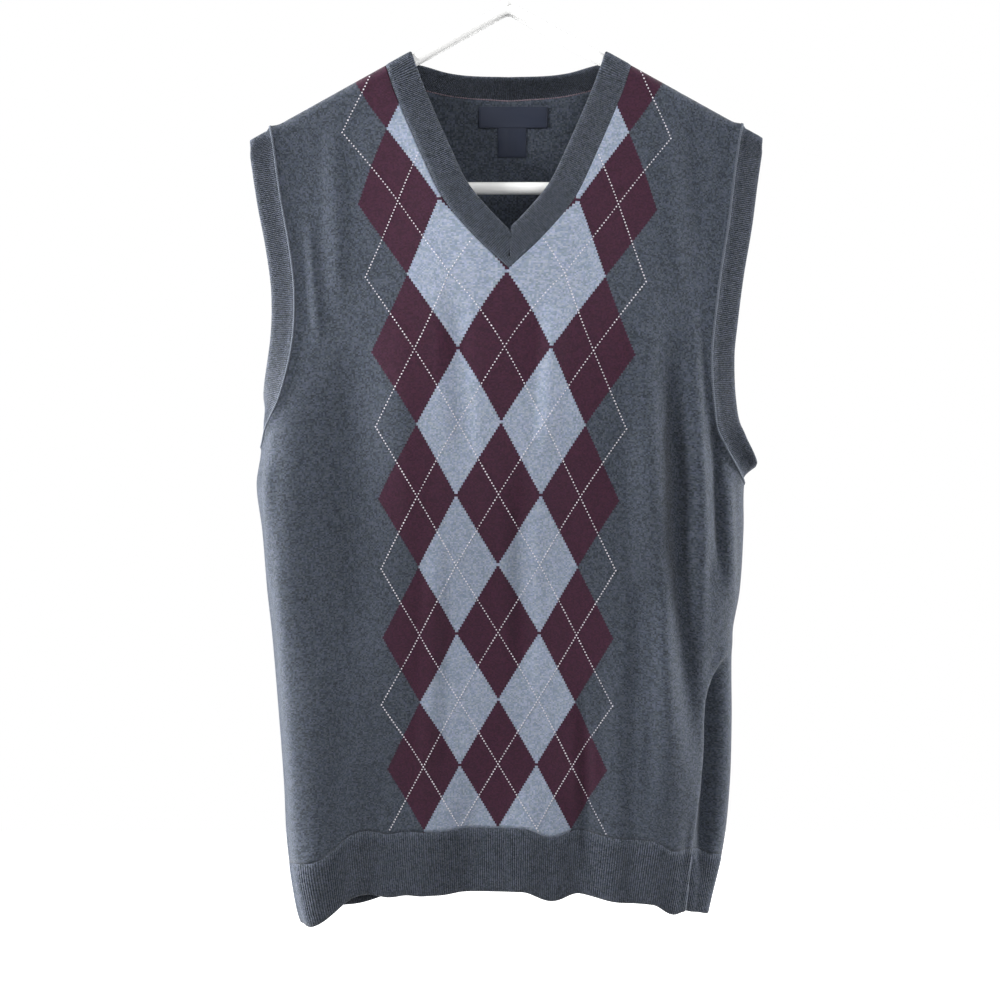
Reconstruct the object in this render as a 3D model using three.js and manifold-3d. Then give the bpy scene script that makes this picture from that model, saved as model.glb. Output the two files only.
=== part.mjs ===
// Knitted V-neck sweater vest hanging on a tubular hanger.
// Millimetres. The front faces -Y, +Z is up, and the origin is the inside top of the hook,
// where a rail bears. Left and right are the wearer's own, so left is +X.
// Every cloth piece is a wall about a middle surface: a rounded tube below the armholes that
// narrows to a saddle over the hanger's arms. Panels are laid on that form row by row, and
// bands start from the panels' own edge points.

import * as THREE from 'three';
import Module from 'manifold-3d';
import { mergeVertices } from 'three/addons/utils/BufferGeometryUtils.js';

const wasm = await Module();
wasm.setup();

// Cloth
const panelThickness = 2.0;
const bandThickness = 2.6;
const labelThickness = 1.0;
const seamGap = 0.3;
const neckbandWidth = 23;
const armbandWidth = 19;
const hemRibDepth = 50;

// Shoulders and hanger
const shoulderSlope = 0.556;
const armRadius = 5;
const clothOverArm = 6.9;
const armsApexZ = -80;
const barZ = -225;
const hangerHalfWidth = 192;
const rodRadius = 3.25;
const hookRadius = 19;
const straightRidgeFrom = 60;

// Heights of the form
const rightPit = { x: -197, z: -434 };
const leftPit = { x: 189, z: -463 };
const vPointZ = -293;
const hemCentreZ = -787;
const hemDip = { right: 29, left: 22, power: 2.6 };
const backHemDrop = 5;
const cornerPower = 3;

// Half widths of the form at each height, measured to the wearer's right and left
const formWidths = [
  { z: -120, right: 226, left: 222 },
  { z: -330, right: 206, left: 202 },
  { z: -434, right: 198, left: 194 },
  { z: -464, right: 201.5, left: 188.5 },
  { z: -500, right: 197, left: 188 },
  { z: -548, right: 193, left: 185 },
  { z: -584, right: 189, left: 179 },
  { z: -656, right: 183, left: 178.5 },
  { z: -704, right: 179.5, left: 177 },
  { z: -752, right: 177, left: 172 },
  { z: -800, right: 170, left: 161 },
  { z: -822, right: 164, left: 157 },
];

// Half depth of the form on its centre line
const formDepths = [
  { z: -120, depth: 54 },
  { z: -440, depth: 54 },
  { z: -620, depth: 50 },
  { z: -820, depth: 46 },
];

const neckCornerX = 99;

// Front neckline seam, the same line across the back, and the neckband's rim behind
const frontNeck = [
  { z: -126, x: neckCornerX },
  { z: -150, x: 91 },
  { z: -205, x: 67.6 },
  { z: -238, x: 51.3 },
  { z: -269, x: 25.5 },
  { z: -293, x: 0 },
];
const backNeck = [
  { x: 0, z: -152.5 },
  { x: 43, z: -149.5 },
  { x: 66, z: -145 },
  { x: 82, z: -140.5 },
  { x: neckCornerX, z: -135 },
];
const backRim = [
  { x: 0, z: -135 },
  { x: 30, z: -134 },
  { x: 49, z: -131.5 },
  { x: 67, z: -126 },
  { x: 78, z: -122.5 },
];

// Armhole seams, front and back alike
const rightArmhole = [
  { z: -174, x: 191 },
  { z: -234, x: 182 },
  { z: -270, x: 175 },
  { z: -307, x: 170 },
  { z: -346, x: 170 },
  { z: -382, x: 175.5 },
  { z: -409, x: 183 },
  { z: -434, x: 198 },
];
const leftArmhole = [
  { z: -175, x: 187 },
  { z: -217, x: 180.5 },
  { z: -254, x: 175.5 },
  { z: -294, x: 168.5 },
  { z: -331, x: 163.5 },
  { z: -360, x: 160.5 },
  { z: -397, x: 162 },
  { z: -431, x: 170 },
  { z: -463, x: 188.5 },
];

// Soft folds: where the crest is, how far it leans from top to bottom, how far it reaches,
// its half width, and how far it stands out (or in, when negative)
const frontFolds = [
  { x: -138, lean: -4, top: -330, bottom: -640, width: 42, rise: -6 },
  { x: -96, lean: 6, top: -300, bottom: -720, width: 34, rise: 3 },
  { x: -110, lean: 6, top: -670, bottom: -840, width: 28, rise: -5 },
  { x: -147, lean: 4, top: -730, bottom: -860, width: 20, rise: 5 },
  { x: -69, lean: 0, top: -700, bottom: -860, width: 24, rise: 4 },
  { x: -31, lean: -4, top: -680, bottom: -860, width: 24, rise: -5 },
  { x: 13, lean: -4, top: -680, bottom: -860, width: 24, rise: 4 },
  { x: 57, lean: 4, top: -690, bottom: -860, width: 22, rise: -5 },
  { x: 114, lean: 4, top: -300, bottom: -500, width: 24, rise: 4 },
  { x: 108, lean: -6, top: -515, bottom: -650, width: 18, rise: -4 },
  { x: 124, lean: -6, top: -520, bottom: -860, width: 40, rise: 6 },
  { x: 165, lean: -12, top: -570, bottom: -790, width: 20, rise: -9 },
  { x: 150, lean: 8, top: -400, bottom: -540, width: 16, rise: 5 },
];
const backFolds = [
  { x: -150, lean: 8, top: -320, bottom: -560, width: 30, rise: -5 },
  { x: -104, lean: -8, top: -360, bottom: -700, width: 36, rise: 4 },
  { x: -60, lean: 10, top: -520, bottom: -860, width: 34, rise: -6 },
  { x: -12, lean: 4, top: -300, bottom: -860, width: 40, rise: 4 },
  { x: 42, lean: -8, top: -560, bottom: -860, width: 30, rise: -5 },
  { x: 88, lean: 8, top: -420, bottom: -860, width: 32, rise: 5 },
  { x: 140, lean: -6, top: -340, bottom: -640, width: 34, rise: -5 },
  { x: 138, lean: 6, top: -660, bottom: -860, width: 22, rise: 5 },
  { x: -134, lean: -6, top: -640, bottom: -860, width: 26, rise: -5 },
];

// Labels inside the back neck
const neckLabel = { x: 4, top: -157, width: 56, height: 16.5 };
const sizeLabel = { x: 3, top: -163, width: 23, height: 34 };

// How finely the cloth is divided
const halfColumns = 12;
const neckCornerColumn = 6;
const lowerRows = 12;
const ribRows = 3;
const bandRows = 3;
const pitToVPoint = [0, 0.03, 0.08, 0.17, 0.31, 0.47, 0.64, 0.82];
const vPointToShoulderRows = 9;
const saddleAngles = [60, 30, 0];

const front = -1;
const back = 1;
const right = -1;
const left = 1;

function mix(a, b, t) {
  return a + (b - a) * t;
}

function smoothStep(low, high, value) {
  const t = Math.min(1, Math.max(0, (value - low) / (high - low)));
  return t * t * (3 - 2 * t);
}

// A smooth curve through a table's rows, read at one value of its key column
function readTable(rows, key, column, at) {
  const sorted = [...rows].sort((a, b) => a[key] - b[key]);
  const last = sorted.length - 1;
  if (at <= sorted[0][key]) return sorted[0][column];
  if (at >= sorted[last][key]) return sorted[last][column];
  const index = sorted.findIndex((row) => row[key] > at) - 1;
  const slopeAt = (i) => {
    const before = sorted[Math.max(0, i - 1)];
    const after = sorted[Math.min(last, i + 1)];
    return (after[column] - before[column]) / (after[key] - before[key]);
  };
  const a = sorted[index];
  const b = sorted[index + 1];
  const span = b[key] - a[key];
  const t = (at - a[key]) / span;
  const rise = b[column] - a[column];
  const leave = slopeAt(index) * span - rise;
  const arrive = rise - slopeAt(index + 1) * span;
  return a[column] + rise * t + t * (1 - t) * ((1 - t) * leave + t * arrive);
}

// The line over the shoulders, rounded where the neck opening leaves it bare
const perpendicular = Math.hypot(1, shoulderSlope);
const saddleDrop = clothOverArm * perpendicular;
const ridgeApexZ = armsApexZ + saddleDrop;

function ridgeZ(x) {
  const out = Math.abs(x);
  const rounded = (out * out) / (2 * straightRidgeFrom) + straightRidgeFrom / 2;
  return ridgeApexZ - shoulderSlope * (out >= straightRidgeFrom ? out : rounded);
}

function pitZ(x) {
  return mix(rightPit.z, leftPit.z, (x - rightPit.x) / (leftPit.x - rightPit.x));
}

function halfWidth(z, side) {
  return readTable(formWidths, 'z', side === right ? 'right' : 'left', z);
}

function hemZ(x, face) {
  const side = x < 0 ? right : left;
  const reach = Math.min(1, Math.abs(x) / halfWidth(hemCentreZ, side));
  const dip = side === right ? hemDip.right : hemDip.left;
  const drop = face === back ? backHemDrop * (1 - reach * reach) : 0;
  return hemCentreZ - drop - dip * reach ** hemDip.power;
}

// Half depth of the form: a saddle over the arm that opens into a rounded tube
function halfDepth(x, z) {
  const below = Math.max(0, ridgeZ(x) - z);
  const saddle = clothOverArm * Math.sqrt(1 - (1 - Math.min(1, below / saddleDrop)) ** 2);
  const reach = Math.min(1, Math.abs(x) / halfWidth(z, x < 0 ? right : left));
  const rounding = (1 - reach ** cornerPower) ** (1 / cornerPower);
  const opening = Math.sin((Math.PI / 2) * Math.min(1, below / 330)) ** 1.3;
  const tubeShare = smoothStep(0, 200, below);
  const depth = readTable(formDepths, 'z', 'depth', z) - clothOverArm;
  return saddle * mix(1, rounding, tubeShare) + depth * opening * rounding;
}

function foldRise(x, z, face) {
  const side = x < 0 ? right : left;
  let total = 0;
  for (const fold of face === front ? frontFolds : backFolds) {
    const middle = (fold.top + fold.bottom) / 2;
    const length = fold.top - fold.bottom;
    const crest = fold.x + (fold.lean * (middle - z)) / length;
    const across = Math.abs(x - crest) / fold.width;
    if (across >= 1) continue;
    const fadeIn = smoothStep(fold.top, fold.top - length * 0.35, z);
    const fadeOut = smoothStep(fold.bottom, fold.bottom + length * 0.25, z);
    total += fold.rise * fadeIn * fadeOut * (0.5 + 0.5 * Math.cos(Math.PI * across));
  }
  const edge = Math.abs(x) / halfWidth(z, side);
  return total * (1 - smoothStep(0.9, 0.995, edge));
}

// A level is one row of the cloth: below the pit, above it, or on the saddle
function levelZ(level, x, face) {
  if (level.kind === 'below') return mix(pitZ(x), hemZ(x, face) + hemRibDepth, level.share);
  if (level.kind === 'rib') return hemZ(x, face) + mix(hemRibDepth - seamGap, 0, level.share);
  if (level.kind === 'saddle') return ridgeZ(x) - saddleDrop * (1 - Math.cos(level.angle));
  return mix(pitZ(x), ridgeZ(x) - saddleDrop, level.share);
}

function settle(level, face, side, start, readX) {
  let x = start;
  for (let pass = 0; pass < 12; pass += 1) x = readX(levelZ(level, side * x, face));
  return x;
}

function outerX(level, face, side) {
  const tube = level.kind === 'below' || level.kind === 'rib';
  const table = side === right ? rightArmhole : leftArmhole;
  const read = tube ? (z) => halfWidth(z, side) : (z) => readTable(table, 'z', 'x', z);
  return settle(level, face, side, 185, read);
}

function innerX(level, face, side) {
  if (face === back || level.kind === 'below' || level.kind === 'rib') return 0;
  const seam = (z) => (z <= vPointZ + 0.01 ? 0 : readTable(frontNeck, 'z', 'x', z));
  return settle(level, face, side, 60, seam);
}

function surfacePoint(x, z, face) {
  return new THREE.Vector3(x, face * Math.max(seamGap / 2, halfDepth(x, z)), z);
}

// Evenly spaced x values along one level, from its inner end to its outer end
function columnsOf(level, face, side) {
  const inner = innerX(level, face, side);
  const outer = outerX(level, face, side);
  const width = Math.max(outer, halfWidth(levelZ(level, side * outer, face), side));
  const turn = (x) => Math.asin(Math.min(1, (x / width) ** (cornerPower / 2)));
  const samples = 96;
  const xs = [];
  const lengths = [0];
  let previous = null;
  for (let k = 0; k <= samples; k += 1) {
    const angle = mix(turn(inner), turn(outer), k / samples);
    const x = width * Math.sin(angle) ** (2 / cornerPower);
    const point = surfacePoint(side * x, levelZ(level, side * x, face), face);
    if (previous) lengths.push(lengths[k - 1] + point.distanceTo(previous));
    xs.push(x);
    previous = point;
  }
  return (share) => {
    if (share >= 1) return outer;
    if (share <= 0) return inner;
    const wanted = share * lengths[samples];
    const k = lengths.findIndex((length) => length > wanted) - 1;
    return mix(xs[k], xs[k + 1], (wanted - lengths[k]) / (lengths[k + 1] - lengths[k]));
  };
}

const bottomToPit = [];
for (let row = 0; row < lowerRows; row += 1) {
  bottomToPit.push({ kind: 'below', share: 1 - row / lowerRows });
}
const vPointShare = (vPointZ - pitZ(0)) / (ridgeZ(0) - saddleDrop - pitZ(0));
const pitToShoulder = pitToVPoint.map((share) => ({ kind: 'above', share: share * vPointShare }));
for (let row = 0; row <= vPointToShoulderRows; row += 1) {
  pitToShoulder.push({ kind: 'above', share: mix(vPointShare, 1, row / vPointToShoulderRows) });
}
const overSaddle = saddleAngles.map((angle) => ({
  kind: 'saddle',
  angle: THREE.MathUtils.degToRad(angle),
}));
const panelLevels = [...bottomToPit, ...pitToShoulder, ...overSaddle];
const ribLevels = [];
for (let row = 0; row <= ribRows; row += 1) {
  ribLevels.push({ kind: 'rib', share: 1 - row / ribRows });
}

// The back stops at its neck seam between the two shoulder corners
function backNeckPoint(level, x) {
  const top = readTable(backNeck, 'x', 'z', Math.abs(x));
  return surfacePoint(x, mix(pitZ(x), top, level.share), back);
}

// Slides the back's columns as they rise, so that one of them ends at the neck's corner
function towardsCorner(level, column, xAt) {
  const plain = xAt(column / halfColumns);
  if (level.kind !== 'above' && level.kind !== 'saddle') return plain;
  const free = xAt(neckCornerColumn / halfColumns);
  const corner = mix(free, neckCornerX, level.kind === 'above' ? level.share : 1);
  if (column <= neckCornerColumn) return (plain * corner) / free;
  const outer = xAt(1);
  return outer - ((outer - plain) * (outer - corner)) / (outer - free);
}

function halfPanel(levels, face, side) {
  return levels.map((level) => {
    const xAt = columnsOf(level, face, side);
    const points = [];
    for (let column = 0; column <= halfColumns; column += 1) {
      const x = side * (face === back ? towardsCorner(level, column, xAt) : xAt(column / halfColumns));
      const underNeck = level.kind === 'above' && face === back && column < neckCornerColumn;
      points.push(underNeck ? backNeckPoint(level, x) : surfacePoint(x, levelZ(level, x, face), face));
    }
    return points;
  });
}

// A sheet is an open surface: points, and triangles that face outwards
class Sheet {
  constructor() {
    this.points = [];
    this.triangles = [];
    this.lookup = new Map();
  }

  index(point) {
    const key = [point.x, point.y, point.z].map((value) => value.toFixed(3)).join();
    if (!this.lookup.has(key)) {
      this.lookup.set(key, this.points.length);
      this.points.push(point.clone());
    }
    return this.lookup.get(key);
  }

  addGrid(rows, flip) {
    const indices = rows.map((row) => row.map((point) => this.index(point)));
    for (let j = 0; j < indices.length - 1; j += 1) {
      for (let i = 0; i < indices[j].length - 1; i += 1) {
        const a = indices[j][i];
        const b = indices[j][i + 1];
        const c = indices[j + 1][i + 1];
        const d = indices[j + 1][i];
        this.addTriangle(a, b, c, flip);
        this.addTriangle(a, c, d, flip);
      }
    }
    return indices;
  }

  addTriangle(a, b, c, flip) {
    if (a === b || b === c || a === c) return;
    this.triangles.push(flip ? [a, c, b] : [a, b, c]);
  }

  // Area-weighted normals. On a seam in the plane y = 0 they lie in that plane.
  normals() {
    const sums = this.points.map(() => new THREE.Vector3());
    for (const [a, b, c] of this.triangles) {
      const ab = this.points[b].clone().sub(this.points[a]);
      const face = ab.cross(this.points[c].clone().sub(this.points[a]));
      for (const index of [a, b, c]) sums[index].add(face);
    }
    this.points.forEach((point, index) => {
      if (Math.abs(point.y) <= seamGap) sums[index].y = 0;
      sums[index].normalize();
    });
    return sums;
  }

  move(distance) {
    const normals = this.normals();
    this.points.forEach((point, index) => point.addScaledVector(normals[index], distance(point)));
  }
}

// Thickens a sheet to a closed wall, half the thickness to each side
function wall(sheet, thickness) {
  const normals = sheet.normals();
  const count = sheet.points.length;
  const positions = [];
  for (const way of [0.5, -0.5]) {
    sheet.points.forEach((point, index) => {
      const moved = point.clone().addScaledVector(normals[index], way * thickness);
      positions.push(moved.x, moved.y, moved.z);
    });
  }
  const faces = [];
  const edges = new Map();
  for (const [a, b, c] of sheet.triangles) {
    faces.push(a, b, c, a + count, c + count, b + count);
    for (const [from, to] of [[a, b], [b, c], [c, a]]) edges.set(`${from},${to}`, [from, to]);
  }
  for (const [from, to] of edges.values()) {
    if (edges.has(`${to},${from}`)) continue;
    faces.push(from, from + count, to + count, from, to + count, to);
  }
  const geometry = new THREE.BufferGeometry();
  geometry.setAttribute('position', new THREE.Float32BufferAttribute(positions, 3));
  geometry.setIndex(faces);
  return geometry;
}

// One panel of the body, and the points on its edges that the bands start from
function bodyPanel(face) {
  const sheet = new Sheet();
  const edges = {};
  for (const side of [right, left]) {
    const rows = halfPanel(panelLevels, face, side);
    const saddleRow = rows.length - overSaddle.length;
    const corner = face === back ? neckCornerColumn : 0;
    const body = sheet.addGrid(rows.slice(0, saddleRow), side * face > 0);
    const saddleRows = rows.slice(saddleRow - 1).map((row) => row.slice(corner));
    const saddle = sheet.addGrid(saddleRows, side * face > 0).slice(1);
    const vRow = panelLevels.findIndex((level) => level.share === vPointShare);
    const alongNeck = face === front
      ? body.slice(vRow).map((row) => row[0])
      : body[saddleRow - 1].slice(0, neckCornerColumn + 1);
    edges[side] = {
      armhole: [
        ...body.slice(bottomToPit.length).map((row) => row[halfColumns]),
        ...saddle.map((row) => row[halfColumns - corner]),
      ],
      neck: [...alongNeck, ...saddle.map((row) => row[0])],
    };
  }
  sheet.move((point) => foldRise(point.x, point.z, face));
  return { sheet, edges, normals: sheet.normals() };
}

function hemRib(face) {
  const sheet = new Sheet();
  for (const side of [right, left]) {
    sheet.addGrid(halfPanel(ribLevels, face, side), side * face > 0);
  }
  sheet.move((point) => foldRise(point.x, point.z, face));
  return wall(sheet, bandThickness);
}

const panels = { [front]: bodyPanel(front), [back]: bodyPanel(back) };

// A seam is a run of points with their normals, taken off a panel's edge
function seamOf(face, side, edge) {
  const { sheet, edges, normals } = panels[face];
  return edges[side][edge].map((index) => ({ point: sheet.points[index], normal: normals[index] }));
}

function meet(a, b) {
  return {
    point: a.point.clone().add(b.point).multiplyScalar(0.5),
    normal: a.normal.clone().add(b.normal).normalize(),
  };
}

function isOnSaddle(point) {
  return ridgeZ(point.x) - point.z < saddleDrop + 0.5;
}

// Directions across a band, in the cloth and square to the seam, or straight along the arm
function acrossSeam(seam, closed, turn, outward) {
  const count = seam.length;
  return seam.map(({ point, normal }, index) => {
    if (isOnSaddle(point)) {
      const slope = new THREE.Vector3(Math.sign(point.x), 0, -shoulderSlope);
      return slope.multiplyScalar(outward / perpendicular);
    }
    const before = closed ? (index + count - 1) % count : Math.max(0, index - 1);
    const after = closed ? (index + 1) % count : Math.min(count - 1, index + 1);
    const along = seam[after].point.clone().sub(seam[before].point).normalize();
    return along.cross(normal).multiplyScalar(turn).normalize();
  });
}

function leaned(direction, normal, amount) {
  return direction.clone().addScaledVector(normal, amount).normalize();
}

// The armband runs from the shoulder down the front, round the pit and up the back
function armband(side) {
  const frontSeam = seamOf(front, side, 'armhole').reverse();
  const backSeam = seamOf(back, side, 'armhole');
  const shoulder = meet(frontSeam[0], backSeam[backSeam.length - 1]);
  const pit = meet(frontSeam[frontSeam.length - 1], backSeam[0]);
  const loop = [shoulder, ...frontSeam.slice(1, -1), pit, ...backSeam.slice(1, -1)];
  const across = acrossSeam(loop, true, -side, 1);
  const flare = side === left ? 1.4 : 0.2;
  let points = loop.map(({ point }, index) => point.clone().addScaledVector(across[index], seamGap));
  const rows = [points];
  for (let row = 1; row <= bandRows; row += 1) {
    points = loop.map(({ point, normal }, index) => {
      const nearPit = Math.exp(-(((point.z - pit.point.z) / 30) ** 2));
      const lean = (flare * nearPit * (row - 0.7)) / bandRows;
      const way = leaned(across[index], normal, lean);
      return points[index].clone().addScaledVector(way, armbandWidth / bandRows);
    });
    rows.push(points);
  }
  for (const row of rows) row.push(row[0]);
  const sheet = new Sheet();
  sheet.addGrid(rows, side === right);
  return wall(sheet, bandThickness);
}

// Behind the neck the band narrows towards its rim and leans forward at the middle
function backRimPoint(seamPoint) {
  const last = backRim[backRim.length - 1].x;
  const x = (seamPoint.x * last) / backNeck[backNeck.length - 1].x;
  const z = readTable(backRim, 'x', 'z', Math.abs(x));
  const lean = 0.4 * (1 - smoothStep(0, last, Math.abs(x)));
  return new THREE.Vector3(x, halfDepth(x, z) * (1 - lean), z);
}

// The neckband is one loop from the V point over both shoulders, mitred at the point
function neckband() {
  const climb = seamOf(front, right, 'neck');
  const backHalf = [...seamOf(back, right, 'neck')].reverse();
  const otherBack = seamOf(back, left, 'neck');
  const descend = [...seamOf(front, left, 'neck')].reverse();
  const rightShoulder = meet(climb[climb.length - 1], backHalf[0]);
  const leftShoulder = meet(otherBack[otherBack.length - 1], descend[0]);
  const loop = [
    ...climb.slice(0, -1), rightShoulder, ...backHalf.slice(1),
    ...otherBack.slice(1, -1), leftShoulder, ...descend.slice(1),
  ];
  const across = acrossSeam(loop, false, 1, -1);
  const distances = [0];
  for (let k = 1; k < loop.length; k += 1) {
    distances.push(distances[k - 1] + loop[k].point.distanceTo(loop[k - 1].point));
  }
  const total = distances[loop.length - 1];
  const rimAt = (distance) => {
    const found = distances.findIndex((value) => value > distance);
    const k = found < 0 ? loop.length - 2 : Math.max(0, found - 1);
    const t = (distance - distances[k]) / (distances[k + 1] - distances[k]);
    const point = loop[k].point.clone().lerp(loop[k + 1].point, t);
    const way = across[k].clone().lerp(across[k + 1], t).normalize();
    return point.addScaledVector(way, neckbandWidth);
  };
  const mitre = 25;
  const eased = 90;
  const slide = (distance) => (distance < eased ? mix(mitre, eased, distance / eased) : distance);
  const rims = loop.map(({ point }, k) => {
    if (point.y > 0 && !isOnSaddle(point)) return backRimPoint(point);
    const fromEnd = total - distances[k];
    if (distances[k] < eased) return rimAt(slide(distances[k]));
    return fromEnd < eased ? rimAt(total - slide(fromEnd)) : rimAt(distances[k]);
  });
  const meeting = rims[0].clone().add(rims[rims.length - 1]).multiplyScalar(0.5);
  meeting.x = 0;
  rims[0] = meeting;
  rims[rims.length - 1] = meeting;
  const rows = [];
  for (let row = 0; row <= bandRows; row += 1) {
    rows.push(loop.map(({ point }, k) => {
      const way = rims[k].clone().sub(point).normalize();
      const start = point.clone().addScaledVector(way, seamGap / Math.max(0.5, way.dot(across[k])));
      return start.lerp(rims[k], row / bandRows);
    }));
  }
  const sheet = new Sheet();
  sheet.addGrid(rows, true);
  return wall(sheet, bandThickness);
}

// A label lies on the inside of the back, moved off it by the layers between
function label({ x, top, width, height }, layersBehind) {
  const sheet = new Sheet();
  const offset = panelThickness / 2 + seamGap + labelThickness / 2 + layersBehind * (labelThickness + seamGap);
  const step = 1;
  const rows = [0, 1, 2].map((row) => [0, 1, 2, 3, 4].map((column) => {
    const px = x + width * (column / 4 - 0.5);
    const pz = top - height * (1 - row / 2);
    const point = surfacePoint(px, pz, back);
    const rightward = surfacePoint(px + step, pz, back).sub(point);
    const upward = surfacePoint(px, pz + step, back).sub(point);
    return point.addScaledVector(upward.cross(rightward).normalize(), -offset);
  }));
  sheet.addGrid(rows, false);
  return wall(sheet, labelThickness);
}

function tube(path, radius, sides, steps) {
  const section = new THREE.Shape();
  for (let k = 0; k < sides; k += 1) {
    const angle = (2 * Math.PI * k) / sides;
    const point = [radius * Math.cos(angle), radius * Math.sin(angle)];
    if (k === 0) section.moveTo(...point);
    else section.lineTo(...point);
  }
  return new THREE.ExtrudeGeometry(section, { steps, bevelEnabled: false, extrudePath: path });
}

function solid(geometry) {
  const bare = geometry.clone();
  bare.deleteAttribute('normal');
  bare.deleteAttribute('uv');
  const merged = mergeVertices(bare, 1e-3);
  const mesh = new wasm.Mesh({
    numProp: 3,
    vertProperties: new Float32Array(merged.attributes.position.array),
    triVerts: new Uint32Array(merged.index.array),
  });
  return new wasm.Manifold(mesh);
}

function geometryOf(manifold) {
  const mesh = manifold.getMesh();
  const geometry = new THREE.BufferGeometry();
  geometry.setAttribute('position', new THREE.BufferAttribute(mesh.vertProperties, 3));
  geometry.setIndex(new THREE.BufferAttribute(mesh.triVerts, 1));
  return geometry;
}

// One arm: from the middle of the hanger out along the shoulder, and round into the bar's end
function hangerArm(side) {
  const endTurn = 17;
  const armEndZ = armsApexZ - shoulderSlope * (hangerHalfWidth - endTurn);
  const path = new THREE.CurvePath();
  const start = new THREE.Vector3(-side * 8, 0, armsApexZ + shoulderSlope * 8);
  const shoulderEnd = new THREE.Vector3(side * (hangerHalfWidth - endTurn), 0, armEndZ);
  const barEnd = new THREE.Vector3(side * (hangerHalfWidth - endTurn), 0, barZ);
  const bulge = endTurn * 1.2;
  const out = shoulderEnd.clone().add(new THREE.Vector3(side * bulge, 0, -shoulderSlope * bulge));
  const under = barEnd.clone().add(new THREE.Vector3(side * bulge, 0, 0));
  path.add(new THREE.LineCurve3(start, shoulderEnd));
  path.add(new THREE.CubicBezierCurve3(shoulderEnd, out, under, barEnd));
  const raw = solid(tube(path, armRadius, 10, 20));
  const half = new THREE.BoxGeometry(400, 100, 400);
  half.translate(side * (200 + seamGap / 2), 0, -200);
  return geometryOf(raw.intersect(solid(half)));
}

function hangerBar() {
  const reach = hangerHalfWidth - 17 - seamGap;
  const ends = [new THREE.Vector3(-reach, 0, barZ), new THREE.Vector3(reach, 0, barZ)];
  return tube(new THREE.LineCurve3(...ends), armRadius, 10, 1);
}

// The hook's rod stands on the arms' middle, swings out and turns over the rail
function hangerHook() {
  const centreZ = rodRadius - hookRadius;
  const footZ = armsApexZ + armRadius * perpendicular + seamGap;
  const points = [
    new THREE.Vector3(0, 0, footZ),
    new THREE.Vector3(0, 0, footZ + 12),
    new THREE.Vector3(2, 0, footZ + 22),
  ];
  for (let angle = -52; angle <= 196; angle += 15.5) {
    const turn = THREE.MathUtils.degToRad(angle);
    points.push(new THREE.Vector3(hookRadius * Math.cos(turn), 0, centreZ + hookRadius * Math.sin(turn)));
  }
  return tube(new THREE.CatmullRomCurve3(points, false, 'centripetal'), rodRadius, 8, 36);
}

const charcoal = { color: 0x474c55, roughness: 0.95, metalness: 0 };
const navy = { color: 0x1b2233, roughness: 0.8, metalness: 0 };
const whitePlastic = { color: 0xf4f4f2, roughness: 0.35, metalness: 0 };

const group = new THREE.Group();

function add(name, geometry, finish) {
  const mesh = new THREE.Mesh(geometry, new THREE.MeshStandardMaterial(finish));
  mesh.name = name;
  group.add(mesh);
}

add('front_panel', wall(panels[front].sheet, panelThickness), charcoal);
add('back_panel', wall(panels[back].sheet, panelThickness), charcoal);
add('front_hem_rib', hemRib(front), charcoal);
add('back_hem_rib', hemRib(back), charcoal);
add('neckband', neckband(), charcoal);
add('armband_right', armband(right), charcoal);
add('armband_left', armband(left), charcoal);
add('neck_label', label(neckLabel, 1), navy);
add('size_label', label(sizeLabel, 0), navy);
add('hanger_arm_right', hangerArm(right), whitePlastic);
add('hanger_arm_left', hangerArm(left), whitePlastic);
add('hanger_bar', hangerBar(), whitePlastic);
add('hanger_hook', hangerHook(), whitePlastic);

export default group;
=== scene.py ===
# Knitted sweater vest with an argyle front, hanging on a white tubular hanger.
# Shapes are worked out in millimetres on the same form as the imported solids, then made in metres.
import math

import bpy
import numpy as np
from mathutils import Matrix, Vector


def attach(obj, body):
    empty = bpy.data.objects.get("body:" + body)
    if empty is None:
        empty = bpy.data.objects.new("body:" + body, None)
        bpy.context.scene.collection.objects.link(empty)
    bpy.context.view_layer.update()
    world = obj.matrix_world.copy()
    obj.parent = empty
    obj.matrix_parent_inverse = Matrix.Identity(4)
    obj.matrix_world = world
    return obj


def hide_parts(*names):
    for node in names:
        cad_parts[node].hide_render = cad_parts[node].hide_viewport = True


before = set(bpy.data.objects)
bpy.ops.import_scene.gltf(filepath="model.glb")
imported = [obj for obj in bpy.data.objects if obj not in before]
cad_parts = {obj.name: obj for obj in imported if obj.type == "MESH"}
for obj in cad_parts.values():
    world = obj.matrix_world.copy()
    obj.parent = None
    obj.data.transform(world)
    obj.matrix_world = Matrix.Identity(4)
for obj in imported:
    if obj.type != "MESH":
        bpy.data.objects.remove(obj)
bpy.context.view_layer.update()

front, back = -1, 1
right, left = -1, 1

# Camera and picture: the vest's front, seen level from a little below its middle
camera = {
    "distance": 2300,
    "x": -6.8,
    "z": -476,
    "focusDepth": -15,
    "pictureWidth": 800,
    "sensor": 36,
}

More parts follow.
